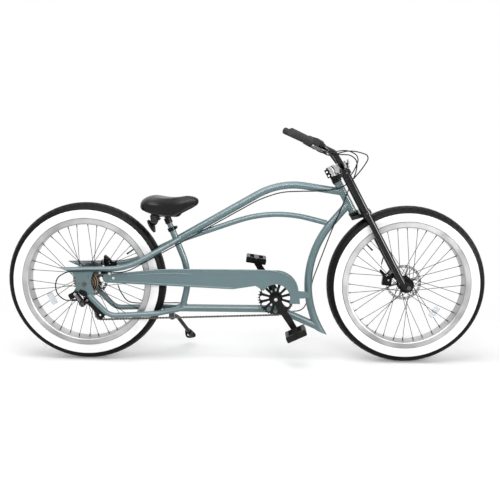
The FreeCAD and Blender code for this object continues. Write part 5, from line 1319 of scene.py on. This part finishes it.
@dataclass
class Drive:
    """Cranks, chain, gears and pedals."""

    bracket: Point = (0.130, -0.0935, 0.296)
    hanger: Point = (-0.748, -0.1041, 0.312)
    cage_pivot: Point = (-0.716, -0.1041, 0.270)
    guide: Point = (-0.702, -0.0661, 0.277)
    tension: Point = (-0.6461, -0.0661, 0.2116)
    cap_height: float = 0.0034
    cap: Line = ((0.0, 0.0), (0.0150, 0.0), (0.0150, 0.0030), (0.0136, 0.0045), (0.0104, 0.0045), (0.0098, 0.0035),
                 (0.0, 0.0035))
    stop_screw: Point = (0.0080, 0.0040, 0.0090)
    claw: Line = ((-0.729, 0.331), (-0.708, 0.325), (-0.697, 0.316), (-0.699, 0.302), (-0.712, 0.298),
                  (-0.726, 0.306), (-0.735, 0.318))
    claw_faces: Flat = (-0.0884, -0.0930)
    block: Point = (-0.7570, -0.0890, 0.3050)
    block_way: Point = (0.89, 0.0, 0.456)
    block_size: Tuple[float, float, float, float] = (0.040, 0.026, 0.007, 0.0135)
    link_ends: float = 0.008
    link_size: Tuple[float, float, float] = (0.0125, 0.004, 0.0025)
    hook_radius: float = 0.0065
    hook_ahead: float = 0.003
    hook_drop: float = 0.0155
    hook_plane: float = -0.0655
    hook_points: int = 8

    def build(self, solids: Solids) -> None:
        """Dress the drive's solids and add its bolts and gear details.

        Args:
            solids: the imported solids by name.
        """
        dress(solids, Look.SATIN_BLACK, "crank_arms", "chainring", "derailleur_body", "derailleur_cage")
        dress(solids, Look.PLASTIC, "guide_pulley", "tension_pulley", "right_pedal", "left_pedal")
        dress(solids, Look.DARK_STEEL, "chain")
        # the cassette's finish paints shade in rings between its cogs
        cogs = CogFinish("stacked_cogs", (0.34, 0.27, 0.19), 0.32, metallic=1.0, grain_scale=700.0,
                         grain_depth=0.06, variation=0.4, axle=REAR_AXLE)
        paint(solids["cassette"], cogs.material())
        self._bolts()
        self._mechanism()
        LOG.info("drive dressed")

    def _bolts(self) -> None:
        """Crank bolts, and the bolts of the gear mechanism."""
        left = tuple(Vector(self.bracket) * MIRROR)
        Fastener(0.0078, 0.0035, "crank", Look.STEEL).fit([
            ("crank_bolt_right", self.bracket, RIGHT), ("crank_bolt_left", left, LEFT)])
        Fastener(0.0044, 0.0030, "cage", Look.STEEL).fit([
            ("guide_pulley_bolt", self.guide, RIGHT), ("tension_pulley_bolt", self.tension, RIGHT)])
        Fastener(0.0058, 0.0040, "frame", Look.STEEL).fit([("hanger_bolt", self.hanger, RIGHT)])
        x, y, z = self.cage_pivot
        Fastener(0.0080, 0.0040, "frame", Look.DARK_STEEL).fit([
            ("cage_pivot_bolt", (x, y - self.cap_height, z), RIGHT)])
        aside, out, down = self.stop_screw
        Fastener(0.0026, 0.0024, "frame", Look.STEEL).fit([
            ("stop_screw_%d" % index, (x + way * aside, y - out, z - down), RIGHT)
            for index, way in enumerate((-1.0, 1.0))])

    def _mechanism(self) -> None:
        """The gear mechanism's outer link, cable block, claw and cap, and the hook under its cage."""
        start, end, face = Vector(self.hanger), Vector(self.cage_pivot), Vector(RIGHT)
        link = rounded_plate("derailleur_link", (end - start).length + self.link_ends, *self.link_size)
        add_piece(link, "frame", Look.LEVER_ALLOY,
                  lying((start + end) / 2, (end - start).normalized(), face))
        block = rounded_plate("derailleur_cable_block", *self.block_size)
        add_piece(block, "frame", Look.SATIN_BLACK,
                  lying(self.block, Vector(self.block_way).normalized(), face))
        claw = flat_plate("hanger_claw", self.claw, *self.claw_faces, edge=0.0012)
        add_piece(claw, "frame", Look.SATIN_BLACK)
        cap = turned("cage_pivot_cap", self.cap, steps=36)
        add_piece(cap, "frame", Look.GLOSS_BLACK, facing(self.cage_pivot, face))
        x, z = self.tension[0] + self.hook_ahead, self.tension[2] - self.hook_drop
        ring = [2 * math.pi * step / self.hook_points for step in range(self.hook_points)]
        hook = wire_along("cage_hook", [(x + self.hook_radius * math.cos(angle), self.hook_plane,
                                         z + self.hook_radius * math.sin(angle)) for angle in ring],
                          radius=0.0016, cyclic=True)
        add_piece(hook, "cage", Look.SATIN_BLACK)


@dataclass
class FrameSet:
    """The painted frame and what is fixed to it."""

    guard_face: float = -0.0704
    guard_upper: Line = (
        (-0.602, 0.3955), (-0.540, 0.4000), (-0.450, 0.4110), (-0.400, 0.4165), (-0.340, 0.4195), (-0.200, 0.4205),
        (-0.060, 0.4212), (0.044, 0.4212), (0.105, 0.4202), (0.138, 0.4150), (0.168, 0.4060), (0.196, 0.3880),
        (0.214, 0.3620), (0.222, 0.3380))
    guard_seam: Line = ((0.110, 0.4080), (-0.050, 0.4030), (-0.300, 0.3950), (-0.540, 0.3870), (-0.600, 0.3860))
    guard_rib: Line = ((-0.580, 0.3880), (-0.500, 0.3935), (-0.400, 0.4005), (-0.335, 0.4030), (-0.285, 0.4022),
                       (-0.235, 0.3995))
    guard_lower: Line = ((-0.600, 0.3660), (-0.520, 0.3620), (-0.300, 0.3515), (-0.060, 0.3405))
    guard_bolts: Tuple[Point, ...] = ((-0.600, -0.0766, 0.400), (-0.585, -0.0706, 0.379))
    flange_points: int = 9
    flange_rise: float = 0.0026
    flange_faces: Flat = (0.0022, -0.0003)
    bottom_tube: Point = (0.0, 0.0, 0.233)
    head_radius: float = 0.0180
    bottom_radius: float = 0.0170
    weld_gap: float = 0.0004
    weld_radius: float = 0.0026
    weld_steps: int = 28
    stand_plate: Tuple[Tuple[Point, Point], ...] = (
        ((0.0, 0.0, 0.2105), (0.0, 0.0, -1.0)), ((-0.370, 0.0, 0.0), (1.0, 0.0, 0.0)))
    cable_bends: Tuple[Tuple[str, float, float], ...] = (
        ("shift_cable", 0.775, 0.830), ("rear_brake_cable", 0.710, 0.800))
    cable_rings: int = 14
    axle_slot: Point = (-0.7325, -0.0826, 0.353)
    brake_cover: Line = (
        (-0.647, 0.414), (-0.650, 0.440), (-0.6485, 0.457), (-0.644, 0.4615), (-0.638, 0.460), (-0.624, 0.448),
        (-0.613, 0.436), (-0.611, 0.425), (-0.616, 0.412))
    brake_cheek: Line = ((-0.662, 0.418), (-0.663, 0.436), (-0.656, 0.442), (-0.648, 0.438), (-0.647, 0.416))
    brake_bolts: Tuple[Point, ...] = ((-0.625, 0.048, 0.433), (-0.621, 0.048, 0.422))
    stand_foot: Tuple[Point, ...] = (
        (-0.290, 0.214, 0.086), (-0.264, 0.224, 0.066), (-0.246, 0.236, 0.040), (-0.262, 0.238, 0.034),
        (-0.288, 0.234, 0.033), (-0.292, 0.224, 0.056))

    def build(self, solids: Solids) -> None:
        """Dress the frame's solids and add its cables, guard trim, welds, bolts and fittings.

        Args:
            solids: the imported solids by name.
        """
        dress(solids, Look.PAINT, "head_tube", "top_tube", "mid_tube", "down_tube", "bottom_tube", "seat_tube",
              "dropouts", "bottom_bracket", "chain_guard")
        stays = TwoToneFinish(**{**asdict(Look.PAINT.value), "name": "stay_paint", "dust": 0.0},
                              second=(0.005, 0.005, 0.005), planes=self.stand_plate)
        paint(solids["rear_stays"], stays.material())
        dress(solids, Look.SATIN_BLACK, "seat_clamp", "rear_caliper", "rear_caliper_arm", "kickstand",
              "bearing_cups")
        for name, fixed, free in self.cable_bends:
            self._cable(solids[name], fixed, free)
        self._guard()
        self._welds()
        self._fittings()
        LOG.info("frame dressed")

    def _cable(self, solid: bpy.types.Object, fixed: float, free: float) -> None:
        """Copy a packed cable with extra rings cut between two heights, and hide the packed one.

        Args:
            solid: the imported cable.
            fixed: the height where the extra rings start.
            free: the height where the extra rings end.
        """
        line = linked(solid.name + "_line", solid.data.copy())
        edit_all(line)
        bpy.ops.mesh.remove_doubles(threshold=1e-6)
        low, high = Vector((0.0, 0.0, fixed)), Vector((0.0, 0.0, free))
        for step in range(self.cable_rings + 1):
            bpy.ops.mesh.select_all(action="SELECT")
            bpy.ops.mesh.bisect(plane_co=low.lerp(high, step / self.cable_rings), plane_no=high - low)
        bpy.ops.object.mode_set(mode="OBJECT")
        paint(line, Look.PLASTIC.material())
        soften(line)
        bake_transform(line)
        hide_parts(solid.name)

    def _guard(self) -> None:
        """The chain guard's upper flange, its pressed rib, the beads along its edges, and its bolts."""
        crest = [(x, z + self.flange_rise) for x, z in self.guard_upper[:self.flange_points]]
        back, front = (self.guard_face + offset for offset in self.flange_faces)
        flange = flat_plate("guard_upper_flange", crest + list(self.guard_seam), back, front, edge=0.0002)
        add_piece(flange, "frame", Look.PAINT)
        for name, line, radius in (("guard_rib", self.guard_rib, 0.0026),
                                   ("guard_upper_bead", self.guard_upper, 0.0030),
                                   ("guard_lower_bead", self.guard_lower, 0.0030)):
            bead = wire_along(name, [(x, self.guard_face, z) for x, z in line], radius)
            add_piece(bead, "frame", Look.PAINT)
        Fastener(0.0062, 0.0030, "frame", Look.STEEL).fit([
            ("guard_bolt_%d" % index, place, RIGHT) for index, place in enumerate(self.guard_bolts)])

    def _welds(self) -> None:
        """Weld beads where the tubes meet the head tube and the bottom tube."""
        head = (HEAD, STEER_UP, self.head_radius)
        bottom = (self.bottom_tube, (1.0, 0.0, 0.0), self.bottom_radius)
        for name, start, along, radius, post in (
                ("top_weld", (0.142, 0.0, 0.804), (0.2689, 0.0, -0.0268), 0.0165, head),
                ("down_weld", (0.300, 0.0, 0.5281), (0.2708, 0.0, 0.2944), 0.0175, head),
                ("seat_weld", (-0.2785, 0.0, 0.2730), (-0.037, 0.0, -0.155), 0.0145, bottom)):
            weld = wire_along(name, self._weld_line(start, along, radius, *post), self.weld_radius, cyclic=True)
            add_piece(weld, "frame", Look.WELD)

    def _weld_line(self, start: Point, along: Point, radius: float, post: Point, axis: Point,
                   post_radius: float) -> List[Point]:
        """The closed line where a round tube meets a round post.

        Args:
            start: a point on the tube's axis.
            along: the tube's direction, towards the post.
            radius: the tube's radius.
            post: a point on the post's axis.
            axis: the post's direction.
            post_radius: the post's radius.

        Returns:
            Points of the line, in order, a little outside both.
        """
        ahead, stem = Vector(along).normalized(), Vector(axis).normalized()
        across = ahead.cross(stem).normalized()
        rise = across.cross(ahead)
        flat = ahead - stem * ahead.dot(stem)
        points = []
        for step in range(self.weld_steps):
            angle = 2 * math.pi * step / self.weld_steps
            rim = Vector(start) + (across * math.cos(angle) + rise * math.sin(angle)) * (radius + self.weld_gap)
            gap = rim - Vector(post)
            gap -= stem * gap.dot(stem)
            a, b, c = flat.dot(flat), 2 * flat.dot(gap), gap.dot(gap) - (post_radius + self.weld_gap) ** 2
            root = math.sqrt(max(0.0, b * b - 4 * a * c))
            points.append(tuple(rim + ahead * ((-b - root) / (2 * a))))
        return points

    def _fittings(self) -> None:
        """The axle slot's filler, the rear brake's cover and the stand's open foot."""
        filler = rounded_plate("slot_filler", length=0.030, width=0.0094, corner=0.0012, thickness=0.0050)
        add_piece(filler, "frame", Look.PAINT,
                  lying(self.axle_slot, Vector((1.0, 0.0, 0.0)), Vector(RIGHT)))
        cover = flat_plate("rear_brake_cover", self.brake_cover, back=0.064, front=0.048, edge=0.003)
        add_piece(cover, "frame", Look.SATIN_BLACK)
        cheek = flat_plate("rear_brake_cheek", self.brake_cheek, back=0.060, front=0.046, edge=0.0015)
        add_piece(cheek, "frame", Look.LEVER_ALLOY)
        Fastener(0.0030, 0.0022, "frame", Look.STEEL).fit([
            ("rear_brake_bolt_%d" % index, place, RIGHT) for index, place in enumerate(self.brake_bolts)])
        foot = wire_along("kickstand_foot", self.stand_foot, radius=0.0052, cyclic=True)
        add_piece(foot, "kickstand", Look.SATIN_BLACK)


def main() -> None:
    """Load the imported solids, then build and dress each sub-assembly."""
    logging.basicConfig(level=logging.INFO)
    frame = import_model()
    solids = frame["nodes"]
    clear_selection()
    studio = Studio()
    studio.build()
    FrameSet().build(solids)
    Drive().build(solids)
    Cockpit().build(solids)
    Wheel("rear", REAR_AXLE, 35.0, "rear_wheel", 0.0511).build(solids)
    Wheel("front", FRONT_AXLE, 135.0, "front_wheel", 0.0451).build(solids)
    studio.keep_off("right_card", Saddle().build(solids))


if __name__ == "__main__":
    main()
